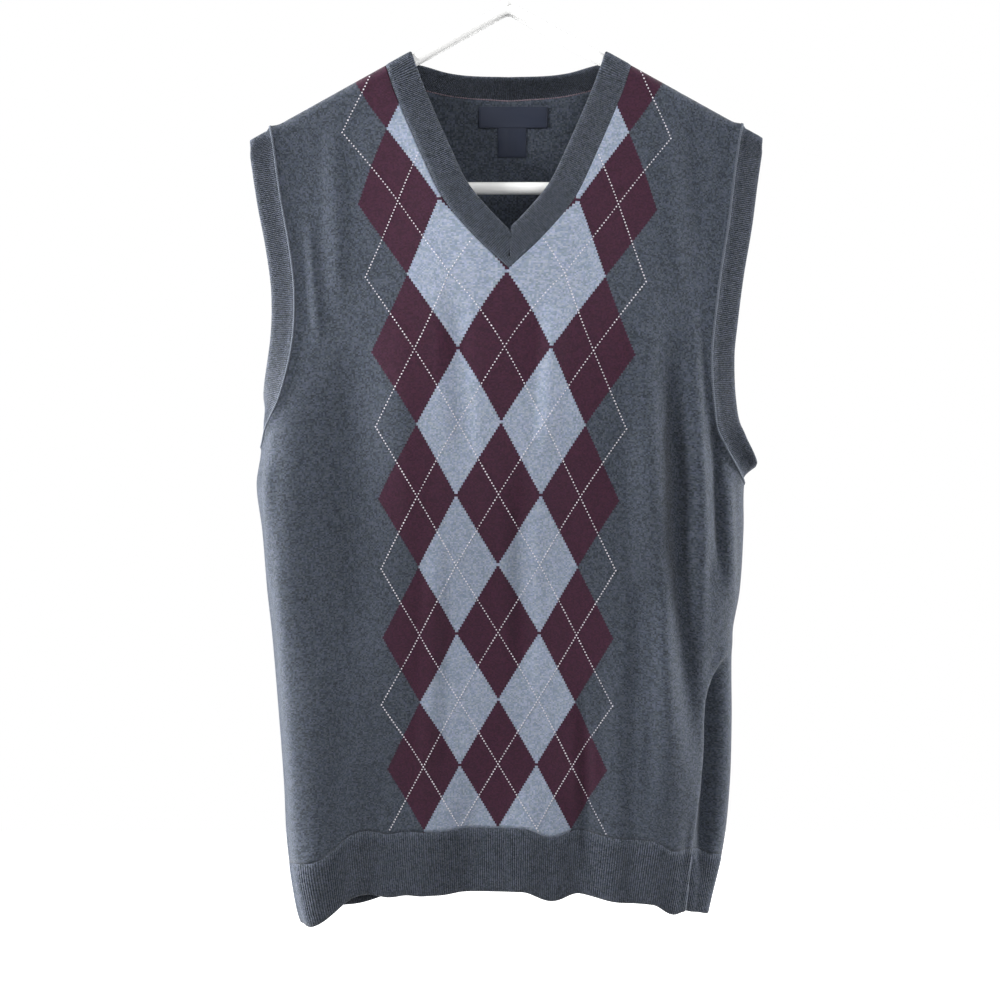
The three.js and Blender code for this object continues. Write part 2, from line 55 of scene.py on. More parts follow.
# The vest's form
form = {
    "shoulderSlope": 0.556,
    "clothOverArm": 6.9,
    "armsApexZ": -80,
    "straightRidgeFrom": 60,
    "rightPitX": -197,
    "rightPitZ": -434,
    "leftPitX": 189,
    "leftPitZ": -463,
    "vPointZ": -293,
    "hemCentreZ": -787,
    "hemDipRight": 29,
    "hemDipLeft": 22,
    "hemDipPower": 2.6,
    "backHemDrop": 5,
    "cornerPower": 3,
    "hemRibDepth": 50,
    "hemWaveFade": 12,
    "openingDepth": 330,
    "openingPower": 1.3,
    "saddleBlend": 200,
    "neckCornerX": 99,
    "neckCornerShare": 0.5,
}
formWidths = {
    "z": [-822, -800, -752, -704, -656, -584, -548, -500, -464, -434, -330, -120],
    "right": [164, 170, 177, 179.5, 183, 189, 193, 197, 201.5, 198, 206, 226],
    "left": [157, 161, 172, 177, 178.5, 179, 185, 188, 188.5, 194, 202, 222],
}
formDepths = {
    "z": [-820, -620, -440, -120],
    "depth": [46, 50, 54, 54],
}
frontNeck = {
    "z": [-293, -269, -238, -205, -150, -126],
    "x": [0, 25.5, 51.3, 67.6, 91, 99],
}
backNeck = {
    "x": [0, 43, 66, 82, 99],
    "z": [-152.5, -149.5, -145, -140.5, -135],
}
backRim = {
    "x": [0, 30, 49, 67, 79],
    "z": [-135, -134, -131.5, -126.5, -123.6],
}
armholes = {
    right: {
        "z": [-434, -409, -382, -346, -307, -270, -234, -174],
        "x": [198, 183, 175.5, 170, 170, 175, 182, 191],
    },
    left: {
        "z": [-463, -431, -397, -360, -331, -294, -254, -217, -175],
        "x": [188.5, 170, 162, 160.5, 163.5, 168.5, 175.5, 180.5, 187],
    },
}

# Soft folds, one row each: crest x, lean from top to bottom, top z, bottom z, half width, rise
frontFolds = [
    (-172, 20, -300, -890, 62, 13),
    (-138, -4, -330, -640, 42, -6),
    (-96, 6, -300, -720, 34, 3),
    (-110, 6, -670, -840, 28, -5),
    (-147, 4, -730, -860, 20, 5),
    (-69, 0, -700, -860, 24, 4),
    (-31, -4, -680, -860, 24, -5),
    (13, -4, -680, -860, 24, 4),
    (57, 4, -690, -860, 22, -5),
    (114, 4, -300, -500, 24, 4),
    (108, -6, -515, -650, 18, -4),
    (124, -6, -520, -860, 40, 6),
    (165, -12, -570, -790, 20, -9),
    (150, 8, -400, -540, 16, 5),
]
frontFineFolds = [
    (-112, 8, -320, -600, 36, -5),
    (-155, 12, -240, -360, 7, 2.2),
    (-186, -2, -410, -560, 8, 2.5),
    (0, 0, -430, -900, 165, -18),
    (119, 30, -330, -760, 24, 7),
    (133, 20, -310, -700, 19, -9),
    (149, 8, -290, -600, 9, 4.5),
    (164, 6, -380, -540, 7, -3.2),
    (174, 4, -440, -560, 8, 3.5),
    (114, -6, -500, -740, 8, -2.2),
    (86, -6, -560, -860, 15, 3.8),
    (62, 6, -610, -790, 10, -4),
    (-40, 10, -300, -460, 16, -3.6),
    (34, -8, -300, -450, 14, 3.4),
    (10, 6, -430, -640, 16, -4.2),
    (-62, -8, -480, -720, 14, 4),
    (150, 10, -140, -290, 12, -3),
    (131, 14, -150, -330, 12, 2.5),
    (-138, 6, -160, -330, 13, 2.5),
    (-134, -4, -560, -840, 16, -4),
    (140, -8, -710, -860, 10, -3),
]
backFolds = [
    (-150, 10, -290, -560, 26, -8),
    (-104, -12, -340, -700, 30, 7),
    (-60, 14, -480, -860, 28, -9),
    (-12, 8, -300, -860, 34, 6),
    (42, -12, -520, -860, 26, -8),
    (88, 12, -400, -860, 28, 8),
    (140, -10, -320, -640, 28, -8),
    (138, 6, -660, -860, 20, 7),
    (-134, -6, -640, -860, 24, -7),
]
backFineFolds = [
    (-172, -4, -430, -600, 10, 3.5),
    (168, 4, -450, -590, 10, -3.5),
    (-30, 8, -200, -330, 14, 1.5),
    (52, -6, -210, -360, 16, -1.5),
    (-120, 18, -300, -470, 11, 4),
    (112, -16, -310, -500, 12, 4),
    (-84, 8, -600, -790, 12, -4),
    (18, -6, -640, -850, 12, 4),
    (66, 6, -560, -720, 11, -3.5),
]
folds = {front: (frontFolds, frontFineFolds), back: (backFolds, backFineFolds)}

# Shares of a fold's length on which it rises and dies, and of the half width on which it flattens
foldFade = {"rises": 0.35, "dies": 0.25, "mainEdge": (0.9, 0.995), "fineEdge": (0.96, 1)}

# Where the hem lifts or drops, one row each: middle x, half width, lift
hemWaves = {
    front: [
        (-120, 34, 9),
        (-149, 26, -6),
        (-84, 18, 2.5),
        (-52, 16, -1),
        (34, 24, -7),
        (85, 34, -3),
        (129, 15, -5),
        (158, 12, 2.5),
    ],
    back: [(-118, 30, -4), (-60, 28, 3), (20, 34, -2.5), (96, 30, 3)],
}

# Where the wearer's left side rolls under: the edge of the roll, the drop behind it, and the
# heights between which it starts and weakens
sideRoll = {
    "z": [-860, -790, -740, -684, -636, -612, -589, -560],
    "x": [136, 140, 146, 154, 156, 165, 177, 190],
    "drop": 7,
    "edge": 4,
    "crest": 1.6,
    "starts": (-575, -615),
    "weakens": (-850, -720),
    "weakest": 0.35,
    "fades": (0.93, 1),
}

# The argyle, one diamond wide and one tall for each step of its two coordinates
argyleRows = {
    "row": [-1, 0, 1, 2, 3, 4, 5, 6],
    "z": [-55, -176, -295.3, -414.6, -527.2, -634.5, -736.5, -836],
}
argyleColumns = {
    "z": [-732, -685, -638, -581, -471, -356, -244, -180, -135],
    "innerRight": [-39.1, -39.1, -39.8, -41.5, -41.5, -40, -54.6, -61.2, -65.3],
    "stepRight": [28.4, 28.8, 30.4, 29.2, 30.7, 34.3, 32.6, 36, 36],
    "innerLeft": [22.3, 22.3, 23.4, 24.7, 25.5, 33.5, 54.5, 62, 66.2],
    "stepLeft": [27.6, 28.4, 29.6, 29.5, 31.1, 33.6, 32.2, 34.4, 34.4],
}
argyleRowsByHeight = {key: values[::-1] for key, values in argyleRows.items()}
argyle = {
    "sagRight": 4,
    "sagLeft": 8,
    "sagReach": 110,
    "flatReach": 112,
    "walesPerColumn": 25,
    "coursesPerRow": 100,
    "reach": 3,
    "lightReach": 2,
    "firstLine": -3,
    "lastLine": 7,
    "middleRow": 2.5,
    "rowsEachWay": 4.5,
    "marginAtHem": 1.6,
    "marginAtBands": 1.0,
    "placingTurns": 6,
}

# Millimetres to a column and a row on plain cloth, and to a column on what reaches round the side
plainColumn, plainRow, sideColumn = 33, 117, 30


def mix(a, b, t):
    return a + (b - a) * t


def smoothStep(low, high, value):
    t = np.clip((value - low) / (high - low), 0, 1)
    return t * t * (3 - 2 * t)


def unit(vectors):
    return vectors / np.maximum(np.linalg.norm(vectors, axis=-1, keepdims=True), 1e-9)


def lengthsAlong(points):
    steps = np.linalg.norm(np.diff(points, axis=0), axis=1)
    return np.concatenate([[0], np.cumsum(steps)])


# One at the middle of a fold, and nothing past its half width
def swell(distance, width):
    return 0.5 + 0.5 * np.cos(math.pi * np.minimum(1, np.abs(distance) / width))


# A smooth curve through a table, whose key column rises
def readTable(table, key, column, at):
    xs = np.array(table[key], float)
    ys = np.array(table[column], float)
    slopes = np.empty_like(ys)
    slopes[0] = (ys[1] - ys[0]) / (xs[1] - xs[0])
    slopes[-1] = (ys[-1] - ys[-2]) / (xs[-1] - xs[-2])
    slopes[1:-1] = (ys[2:] - ys[:-2]) / (xs[2:] - xs[:-2])
    at = np.clip(at, xs[0], xs[-1])
    i = np.clip(np.searchsorted(xs, at, side="right") - 1, 0, len(xs) - 2)
    span = xs[i + 1] - xs[i]
    t = (at - xs[i]) / span
    rise = ys[i + 1] - ys[i]
    leave = slopes[i] * span - rise
    arrive = rise - slopes[i + 1] * span
    return ys[i] + rise * t + t * (1 - t) * ((1 - t) * leave + t * arrive)


perpendicular = math.hypot(1, form["shoulderSlope"])
saddleDrop = form["clothOverArm"] * perpendicular
ridgeApexZ = form["armsApexZ"] + saddleDrop


def ridgeZ(x):
    out = np.abs(x)
    straight = form["straightRidgeFrom"]
    rounded = out * out / (2 * straight) + straight / 2
    return ridgeApexZ - form["shoulderSlope"] * np.where(out >= straight, out, rounded)


def pitZ(x):
    share = (x - form["rightPitX"]) / (form["leftPitX"] - form["rightPitX"])
    return mix(form["rightPitZ"], form["leftPitZ"], share)


def halfWidth(x, z):
    rightWidth = readTable(formWidths, "z", "right", z)
    return np.where(np.asarray(x) < 0, rightWidth, readTable(formWidths, "z", "left", z))


def hemZ(x, face):
    reach = np.minimum(1, np.abs(x) / halfWidth(x, form["hemCentreZ"]))
    dip = np.where(np.asarray(x) < 0, form["hemDipRight"], form["hemDipLeft"])
    drop = form["backHemDrop"] * (1 - reach * reach) if face == back else 0
    waves = sum(lift * swell(x - middle, width) for middle, width, lift in hemWaves[face])
    waves = waves * (1 - reach ** form["hemWaveFade"])
    return form["hemCentreZ"] - drop - dip * reach ** form["hemDipPower"] + waves


# Half depth of the form: a saddle over the hanger's arm that opens into a rounded tube
def halfDepth(x, z):
    below = np.maximum(0, ridgeZ(x) - z)
    saddle = form["clothOverArm"] * np.sqrt(1 - (1 - np.minimum(1, below / saddleDrop)) ** 2)
    reach = np.minimum(1, np.abs(x) / halfWidth(x, z))
    power = form["cornerPower"]
    rounding = (1 - reach**power) ** (1 / power)
    opened = np.minimum(1, below / form["openingDepth"])
    opening = np.sin(math.pi / 2 * opened) ** form["openingPower"]
    depth = readTable(formDepths, "z", "depth", z) - form["clothOverArm"]
    onSaddle = mix(1, rounding, smoothStep(0, form["saddleBlend"], below))
    return saddle * onSaddle + depth * opening * rounding


def foldsIn(table, x, z):
    total = np.zeros_like(x, dtype=float)
    for crestX, lean, top, bottom, width, rise in table:
        length = top - bottom
        crest = crestX + lean * ((top + bottom) / 2 - z) / length
        rising = smoothStep(top, top - length * foldFade["rises"], z)
        dying = smoothStep(bottom, bottom + length * foldFade["dies"], z)
        total += rise * rising * dying * swell(x - crest, width)
    return total


def rolledUnder(x, z, edge):
    past = x - readTable(sideRoll, "z", "x", z)
    weakened = mix(sideRoll["weakest"], 1, smoothStep(*sideRoll["weakens"], z))
    length = smoothStep(*sideRoll["starts"], z) * weakened
    kept = 1 - smoothStep(*sideRoll["fades"], edge)
    drop = sideRoll["drop"] * smoothStep(0, sideRoll["edge"], past) * kept
    crest = sideRoll["crest"] * np.exp(-((past / sideRoll["edge"]) ** 2))
    return length * (crest - drop)


def foldRise(x, z, face):
    edge = np.abs(x) / halfWidth(x, z)
    main, fine = (foldsIn(table, x, z) for table in folds[face])
    main = main * (1 - smoothStep(*foldFade["mainEdge"], edge))
    fine = fine * (1 - smoothStep(*foldFade["fineEdge"], edge))
    return main + fine + (rolledUnder(x, z, edge) if face == front else 0)


def surfacePoints(x, z, face):
    return np.stack([x, face * halfDepth(x, z), z], axis=-1)


# Points on the draped cloth's middle surface, with normals that point out of the vest
def drapedPoints(x, z, face):
    step = 0.5
    points = surfacePoints(x, z, face)
    alongX = surfacePoints(x + step, z, face) - surfacePoints(x - step, z, face)
    alongZ = surfacePoints(x, z + step, face) - surfacePoints(x, z - step, face)
    normals = unit(np.cross(alongX, alongZ)) * -face
    return points + normals * foldRise(x, z, face)[..., None], normals


def argyleWidths(z):
    sides = ("innerRight", "stepRight", "innerLeft", "stepLeft")
    return [readTable(argyleColumns, "z", side, z) for side in sides]


# How far the rows hang lower away from the middle
def argyleSag(x):
    return np.where(x < 0, argyle["sagRight"], argyle["sagLeft"]) * (x / argyle["sagReach"]) ** 2


# Where a point of the front lies in the argyle, and where a point of the argyle lies on the front
def argyleAt(x, z):
    row = readTable(argyleRowsByHeight, "z", "row", z + argyleSag(x))
    innerRight, stepRight, innerLeft, stepLeft = argyleWidths(z)
    column = -1 + 2 * (x - innerRight) / (innerLeft - innerRight)
    column = np.where(x < innerRight, -1 + (x - innerRight) / stepRight, column)
    column = np.where(x > innerLeft, 1 + (x - innerLeft) / stepLeft, column)
    return column, row


def argylePlace(column, row):
    level = readTable(argyleRows, "row", "z", row)
    z = level
    for turn in range(argyle["placingTurns"]):
        innerRight, stepRight, innerLeft, stepLeft = argyleWidths(z)
        x = mix(innerRight, innerLeft, (column + 1) / 2)
        x = np.where(column < -1, innerRight + (column + 1) * stepRight, x)
        x = np.where(column > 1, innerLeft + (column - 1) * stepLeft, x)
        z = level - argyleSag(x)
    return x, z


# How finely the cloth is divided
fineness = {
    "halfColumns": {front: 100, back: 72},
    "lowerRows": 96,
    "pitRows": 46,
    "chestRows": 52,
    "saddleAngles": (75, 60, 45, 30, 15, 0),
    "ribRows": 9,
    "bandRows": 6,
    "pointsPerRib": 6,
    "rowSamples": 161,
    "ribSamples": 200,
    "settlingTurns": 12,
    "pitSpacing": 1.35,
}
cloth = {
    "panelThickness": 1.8,
    "bandThickness": 1.9,
    "seamGap": 0.1,
    "seamRoll": 2.2,
    "seamRollReach": 4.8,
    "seamRollRows": 12,
    "neckSeamGap": 0.55,
    "pitBlend": 0.3,
    "squeezedFrom": 0.75,
    "bandTurn": 14,
}


# One level is a row across a panel. It gives a height for each x.
def levelZ(level, x, face):
    kind, share = level
    if kind == "below":
        return mix(pitZ(x), hemZ(x, face) + form["hemRibDepth"], share)
    if kind == "rib":
        return hemZ(x, face) + form["hemRibDepth"] * (1 - share)
    if kind == "saddle":
        return ridgeZ(x) - saddleDrop * (1 - math.cos(share))
    return mix(pitZ(x), ridgeZ(x) - saddleDrop, share)


# Finds the x of an edge on a level, whose height depends on that x
def settle(level, face, side, x, readX):
    for turn in range(fineness["settlingTurns"]):
        x = float(readX(float(levelZ(level, side * x, face))))
    return x


edgeStarts = {"outer": 185, "inner": 60}


def outerX(level, face, side):
    def readX(z):
        if level[0] in ("below", "rib"):
            return halfWidth(side, z)
        return readTable(armholes[side], "z", "x", z)

    return settle(level, face, side, edgeStarts["outer"], readX)


def innerX(level, face, side):
    if face == back or level[0] in ("below", "rib"):
        return 0.0
    return settle(level, face, side, edgeStarts["inner"], lambda z: readTable(frontNeck, "z", "x", z))


# x values evenly spaced along one level, measured on the form's surface
def columnsOf(level, face, side, shares):
    inner = innerX(level, face, side)
    outer = outerX(level, face, side)
    width = max(outer, float(halfWidth(side, float(levelZ(level, side * outer, face)))))
    power = form["cornerPower"]
    ends = [math.asin(min(1, (x / width) ** (power / 2))) for x in (inner, outer)]
    angles = np.linspace(*ends, fineness["rowSamples"])
    xs = width * np.sin(angles) ** (2 / power)
    points = surfacePoints(side * xs, levelZ(level, side * xs, face), face)
    lengths = lengthsAlong(points)
    placed = np.interp(np.asarray(shares) * lengths[-1], lengths, xs)
    placed[0] = inner
    placed[-1] = outer
    return placed


# Slides the back's columns as they rise, so that one of them ends at the neck's corner
def slideToCorner(level, xs, shares):
    free = np.interp(form["neckCornerShare"], shares, xs)
    height = level[1] if level[0] == "above" else 1
    corner = mix(free, form["neckCornerX"], height)
    outer = xs[-1]
    inside = xs * corner / free
    outside = outer - (outer - xs) * (outer - corner) / (outer - free)
    return np.where(xs <= free + 1e-6, inside, outside)


# Near the pit a row keeps the pit's columns, squeezed a little towards its own end
def heldAtPit(level, xs, pitColumns):
    held = 1 - smoothStep(0, cloth["pitBlend"], level[1])
    outer = xs[-1]
    start = cloth["squeezedFrom"] * outer
    squeezed = start + (pitColumns - start) * (outer - start) / (pitColumns[-1] - start)
    return mix(xs, np.where(pitColumns < start, pitColumns, squeezed), held)


def halfPanel(levels, face, side, shares):
    rows = []
    neckColumns = np.asarray(shares) < form["neckCornerShare"] - 1e-6
    pitColumns = columnsOf(("below", 0), face, side, shares)
    for level in levels:
        xs = columnsOf(level, face, side, shares)
        if level[0] == "above" and level[1] < cloth["pitBlend"]:
            xs = heldAtPit(level, xs, pitColumns)
        above = level[0] in ("above", "saddle")
        if face == back and above:
            xs = slideToCorner(level, xs, shares)
        x = side * xs
        z = levelZ(level, x, face)
        if face == back and level[0] == "above":
            neckTop = readTable(backNeck, "x", "z", np.abs(x))
            z = np.where(neckColumns, mix(pitZ(x), neckTop, level[1]), z)
        y = face * np.maximum(cloth["seamGap"] / 2, halfDepth(x, z))
        rows.append(np.stack([x, y, z], axis=-1))
    return np.array(rows)


def gridQuads(ids, flip=False):
    corners = [ids[:-1, :-1], ids[:-1, 1:], ids[1:, 1:], ids[1:, :-1]]
    quads = np.stack(corners, axis=-1).reshape(-1, 4)
    return quads[:, ::-1] if flip else quads


# Joins grids to one sheet of quads, with the points that they share made one.
# The first three channels of a grid are its points. The others ride along.
def joinGrids(grids):
    points = np.concatenate([grid.reshape(-1, grid.shape[-1]) for grid, flip in grids])
    keys = np.round(points[:, :3], 3) + 0.0
    firsts, indices = np.unique(keys, axis=0, return_index=True, return_inverse=True)[1:]
    indices = indices.reshape(-1)
    quads, numbered, start = [], [], 0
    for grid, flip in grids:
        end = start + grid.shape[0] * grid.shape[1]
        numbered.append(indices[start:end].reshape(grid.shape[:2]))
        quads.append(gridQuads(numbered[-1], flip))
        start = end
    joined = points[firsts]
    return joined[:, :3], joined[:, 3:], np.concatenate(quads), numbered


# Area-weighted normals. On a seam in the plane y = 0 they lie in that plane.
def sheetNormals(points, quads, seamPlane=False):
    a, b, c, d = (points[quads[:, k]] for k in range(4))
    faces = np.cross(c - a, d - b)
    sums = np.zeros_like(points)
    for k in range(4):
        np.add.at(sums, quads[:, k], faces)
    if seamPlane:
        sums[np.abs(points[:, 1]) <= cloth["seamGap"], 1] = 0
    return unit(sums)


# A closed wall about a sheet, its edges rounded by the bulge. Also gives each vertex's sheet point.
def wallOf(points, quads, normals, thickness, bulge=0.0):
    count = len(points)
    edges = np.concatenate([quads[:, [k, (k + 1) % 4]] for k in range(4)])
    codes = edges[:, 0].astype(np.int64) * count + edges[:, 1]
    twins = edges[:, 1].astype(np.int64) * count + edges[:, 0]
    rim = edges[~np.isin(codes, twins)]
    outwards = np.zeros_like(points)
    for end in (0, 1):
        along = points[rim[:, 1]] - points[rim[:, 0]]
        np.add.at(outwards, rim[:, end], np.cross(along, normals[rim[:, end]]))
    rimIds = np.unique(rim)
    middle = points[rimIds] + unit(outwards[rimIds]) * bulge
    half = normals * thickness / 2
    vertices = np.concatenate([points + half, points - half, middle])
    source = np.concatenate([np.arange(count), np.arange(count), rimIds])
    middles = 2 * count + np.searchsorted(rimIds, rim)
    outer = np.stack([rim[:, 0], middles[:, 0], middles[:, 1], rim[:, 1]], axis=-1)
    inner = np.stack([middles[:, 0], rim[:, 0] + count, rim[:, 1] + count, middles[:, 1]], axis=-1)
    faces = np.concatenate([quads, quads[:, ::-1] + count, outer, inner])
    return vertices, faces, source


def meshObject(name, vertices, faces, uv=None, attributes=None, material=None):
    mesh = bpy.data.meshes.new(name)
    faceLists = faces.tolist() if isinstance(faces, np.ndarray) else faces
    mesh.from_pydata((vertices / 1000).tolist(), [], faceLists)
    mesh.polygons.foreach_set("use_smooth", [True] * len(mesh.polygons))
    if uv is not None:
        layer = mesh.uv_layers.new(name="cloth")
        corner = np.empty(len(mesh.loops), dtype=np.int32)
        mesh.loops.foreach_get("vertex_index", corner)
        layer.data.foreach_set("uv", uv[corner].astype(np.float32).ravel())
    for key, values in (attributes or {}).items():
        kind = "FLOAT" if values.ndim == 1 else "FLOAT_VECTOR"
        attribute = mesh.attributes.new(key, kind, "POINT")
        field = "value" if values.ndim == 1 else "vector"
        attribute.data.foreach_set(field, values.astype(np.float32).ravel())
    mesh.update()
    made = bpy.data.objects.new(name, mesh)
    bpy.context.scene.collection.objects.link(made)
    if material:
        mesh.materials.append(material)
    return made


# A node's output. Sums and products of it are nodes of their own.
class Wire:
    def __init__(self, tree, socket):
        self.tree = tree
        self.socket = socket

    def maths(self, operation, *values):
        inputs = dict(enumerate((self, *values)))
        return wireOf(self.tree, "ShaderNodeMath", inputs, operation=operation)

    def __add__(self, value):
        return self.maths("ADD", value)

    def __sub__(self, value):
        return self.maths("SUBTRACT", value)

    def __mul__(self, value):
        return self.maths("MULTIPLY", value)

    def __truediv__(self, value):
        return self.maths("DIVIDE", value)


# An input takes a plain value or a wire
def feed(node, key, value):
    if isinstance(value, Wire):
        value.tree.links.new(value.socket, node.inputs[key])
    else:
        node.inputs[key].default_value = value


def addNode(tree, kind, inputs=None, **settings):
    made = tree.nodes.new(kind)
    for key, value in settings.items():
        setattr(made, key, value)
    for key, value in (inputs or {}).items():
        feed(made, key, value)
    return made


def wireOf(tree, kind, inputs=None, output=0, **settings):
    return Wire(tree, addNode(tree, kind, inputs, **settings).outputs[output])


def attributeOf(tree, name, kind):
    return wireOf(tree, "GeometryNodeInputNamedAttribute", {"Name": name}, data_type=kind)


def newTree(name, sockets):
    tree = bpy.data.node_groups.new(name, "GeometryNodeTree")
    for direction in ("OUTPUT", "INPUT"):
        tree.interface.new_socket("Geometry", in_out=direction, socket_type="NodeSocketGeometry")
    for label, kind in sockets.items():
        tree.interface.new_socket(label, in_out="INPUT", socket_type="NodeSocket" + kind)
    given = tree.nodes.new("NodeGroupInput").outputs
    return tree, {label: Wire(tree, given[label]) for label in ("Geometry", *sockets)}


def closeTree(tree, geometry, material):
    real = wireOf(tree, "GeometryNodeRealizeInstances", {"Geometry": geometry})
    done = wireOf(tree, "GeometryNodeSetMaterial", {"Geometry": real, "Material": material})
    addNode(tree, "NodeGroupOutput", {"Geometry": done})


# Ribbing: pitch of one rib, its height, how round its columns are, and how it fades at the edges
ribbing = {
    "hemPitch": 1.75,
    "bandPitch": 1.6,
    "height": 1.0,
    "roundness": 0.75,
    "clothLevel": 0.6,
    "edgeFade": 1.6,
    "rimFade": 1.2,
    "rimShare": 0.45,
    "edgeBulge": 0.4,
}


# Raises rows of ribs on a band: rounded columns with narrow valleys between them
def makeRibTree():
    sockets = {"Rib height": "Float", "Rib roundness": "Float", "Material": "Material"}
    tree, given = newTree("raiseRibs", sockets)
    turns = attributeOf(tree, "ribPhase", "FLOAT") * math.pi
    column = turns.maths("SINE").maths("ABSOLUTE").maths("POWER", given["Rib roundness"])
    faded = (column - ribbing["clothLevel"]) * attributeOf(tree, "ribFade", "FLOAT")
    outward = attributeOf(tree, "outward", "FLOAT_VECTOR")
    inputs = {0: outward, "Scale": faded * given["Rib height"]}
    offset = wireOf(tree, "ShaderNodeVectorMath", inputs, operation="SCALE")
    inputs = {"Geometry": given["Geometry"], "Offset": offset}
    closeTree(tree, wireOf(tree, "GeometryNodeSetPosition", inputs), given["Material"])
    return tree


# Sets one small rounded stitch on each point, along the seam and square to the cloth
def makeStitchTree():
    sizes = ("Stitch length", "Stitch width", "Stitch height")
    floats = dict.fromkeys((*sizes, "Unevenness"), "Float")
    tree, given = newTree("setStitches", {**floats, "Seed": "Int", "Material": "Material"})
    bead = wireOf(tree, "GeometryNodeMeshIcoSphere", {"Radius": 0.5, "Subdivisions": 1})
    outward, along = (attributeOf(tree, name, "FLOAT_VECTOR") for name in ("outward", "along"))
    axes = {"Primary Axis": outward, "Secondary Axis": along}
    turned = wireOf(tree, "FunctionNodeAxesToRotation", axes, primary_axis="Z", secondary_axis="X")
    spread = given["Unevenness"]
    limits = {"Seed": given["Seed"], 2: spread * -1.0 + 1.0, 3: spread + 1.0}
    uneven = wireOf(tree, "FunctionNodeRandomValue", limits, 1, data_type="FLOAT")
    size = wireOf(tree, "ShaderNodeCombineXYZ", dict(zip("XYZ", (given[label] for label in sizes))))
    inputs = {
        "Points": given["Geometry"],
        "Instance": wireOf(tree, "GeometryNodeSetShadeSmooth", {"Geometry": bead}),
        "Rotation": turned,
        "Scale": wireOf(tree, "ShaderNodeVectorMath", {0: size, "Scale": uneven}, operation="SCALE"),
    }
    closeTree(tree, wireOf(tree, "GeometryNodeInstanceOnPoints", inputs), given["Material"])
    return tree


# Runs a tree on an object and keeps the result as its plain mesh
def settleTree(made, tree, values):
    modifier = made.modifiers.new(tree.name, "NODES")
    modifier.node_group = tree
    for item in tree.interface.items_tree:
        if item.in_out == "INPUT" and item.name in values:
            modifier[item.identifier] = values[item.name]
    depsgraph = bpy.context.evaluated_depsgraph_get()
    evaluated = made.evaluated_get(depsgraph)
    mesh = bpy.data.meshes.new_from_object(evaluated, preserve_all_data_layers=True, depsgraph=depsgraph)
    made.modifiers.remove(modifier)
    made.data = mesh
    mesh.name = made.name
    return made


ribTree = makeRibTree()
stitchTree = makeStitchTree()
print("node trees built")

# Yarns and finishes
yarn = {
    "charcoal": (0.045, 0.055, 0.074),
    "burgundy": (0.034, 0.0078, 0.0215),
    "blueGrey": (0.26, 0.303, 0.388),
    "overcheck": (0.66, 0.63, 0.68),
    # lighter than the knit's yarn: a painted highlight along the raised linking seams
    "linkingPaintedHighlight": (0.088, 0.102, 0.130),
    "mauve": (0.20, 0.15, 0.18),
    "navy": (0.010, 0.015, 0.033),
    "ribCharcoal": (0.068, 0.081, 0.107),
    # level of the painted shade in the valleys between the ribs
    "ribValleyPaintedShade": 0.36,
    "heather": {"charcoal": 0.56, "blueGrey": 0.26, "burgundy": 0.28},
}
heather = {
    "cloudScale": 0.14,
    "clouds": 0.7,
    "specks": 1.7,
    "darkest": 0.2,
    "warm": (0.16, 0.92),
    "cool": (0.2, 0.9),
}
knit = {"roughness": 0.92, "sheen": 0.14, "slant": 1.4, "ribCourse": 1.05}
stitchBump = {"strength": 0.55, "depth": 0.0004}
thread = {"roughness": 0.85, "sheen": 0.15, "fibres": 700.0, "swing": 0.7, "darkest": 0.65}
threadBump = {"strength": 0.4, "depth": 0.0002}
satin = {
    "roughness": 0.42,
    "sheen": 0.15,
    "anisotropy": 0.5,
    "weft": 0.35,
    "float": 1.1,
    "shift": 2.4,
    "floatShare": 0.5,
    "shade": 0.12,
}
satinBump = {"strength": 0.3, "depth": 0.00008}
plastic = {
    "roughness": 0.24,
    "haze": 90.0,
    "dull": (0.90, 0.90, 0.89),
    "bright": (0.96, 0.96, 0.95),
    "smoothest": 0.16,
    "roughening": 0.16,
}
plasticBump = {"strength": 0.08, "depth": 0.0004}


def newMaterial(name, roughness, sheen=0.0):
    material = bpy.data.materials.new(name)
    material.use_nodes = True
    tree = material.node_tree
    shader = tree.nodes["Principled BSDF"]
    feed(shader, "Roughness", roughness)
    if sheen:
        feed(shader, "Sheen Weight", sheen)
        feed(shader, "Sheen Roughness", 0.45)
        feed(shader, "Specular IOR Level", 0.25)
    return material, tree, shader


def mixColour(tree, factor, a, b, blend="MIX"):
    a, b = ((*value, 1) if isinstance(value, tuple) else value for value in (a, b))
    inputs = {0: factor, 6: a, 7: b}
    return wireOf(tree, "ShaderNodeMix", inputs, 2, data_type="RGBA", blend_type=blend)


# A colour times its own level for each channel
def tinted(tree, colour, red, green, blue):
    level = wireOf(tree, "ShaderNodeCombineColor", {"Red": red, "Green": green, "Blue": blue})
    return mixColour(tree, 1.0, colour, level, "MULTIPLY")


def noiseOf(tree, scale, detail):
    place = wireOf(tree, "ShaderNodeTexCoord", output="Object")
    return wireOf(tree, "ShaderNodeTexNoise", {"Vector": place, "Scale": scale, "Detail": detail})


# Heathered yarn: each stitch is a little lighter or darker, in soft clouds, and some are bluer
def heathered(tree, colour, wale, course, amount):
    cell = wireOf(tree, "ShaderNodeCombineXYZ", {"X": wale, "Y": course})
    speck = addNode(tree, "ShaderNodeTexWhiteNoise", {"Vector": cell}, noise_dimensions="2D")
    level, hue = (Wire(tree, speck.outputs[key]) for key in ("Value", "Color"))
    inputs = {"Vector": cell, "Scale": heather["cloudScale"], "Detail": 2.0}
    cloud = wireOf(tree, "ShaderNodeTexNoise", inputs, noise_dimensions="2D")
    swing = (level - 0.5) * heather["specks"] + (cloud - 0.5) * heather["clouds"]
    light = (swing * amount + 1.0).maths("MAXIMUM", heather["darkest"])
    tint = addNode(tree, "ShaderNodeSeparateColor", {"Color": hue})
    hues = ((0, *heather["warm"]), (2, *heather["cool"]))
    red, blue = (light * (Wire(tree, tint.outputs[k]) * span + low) for k, span, low in hues)
    return tinted(tree, colour, red, light, blue)


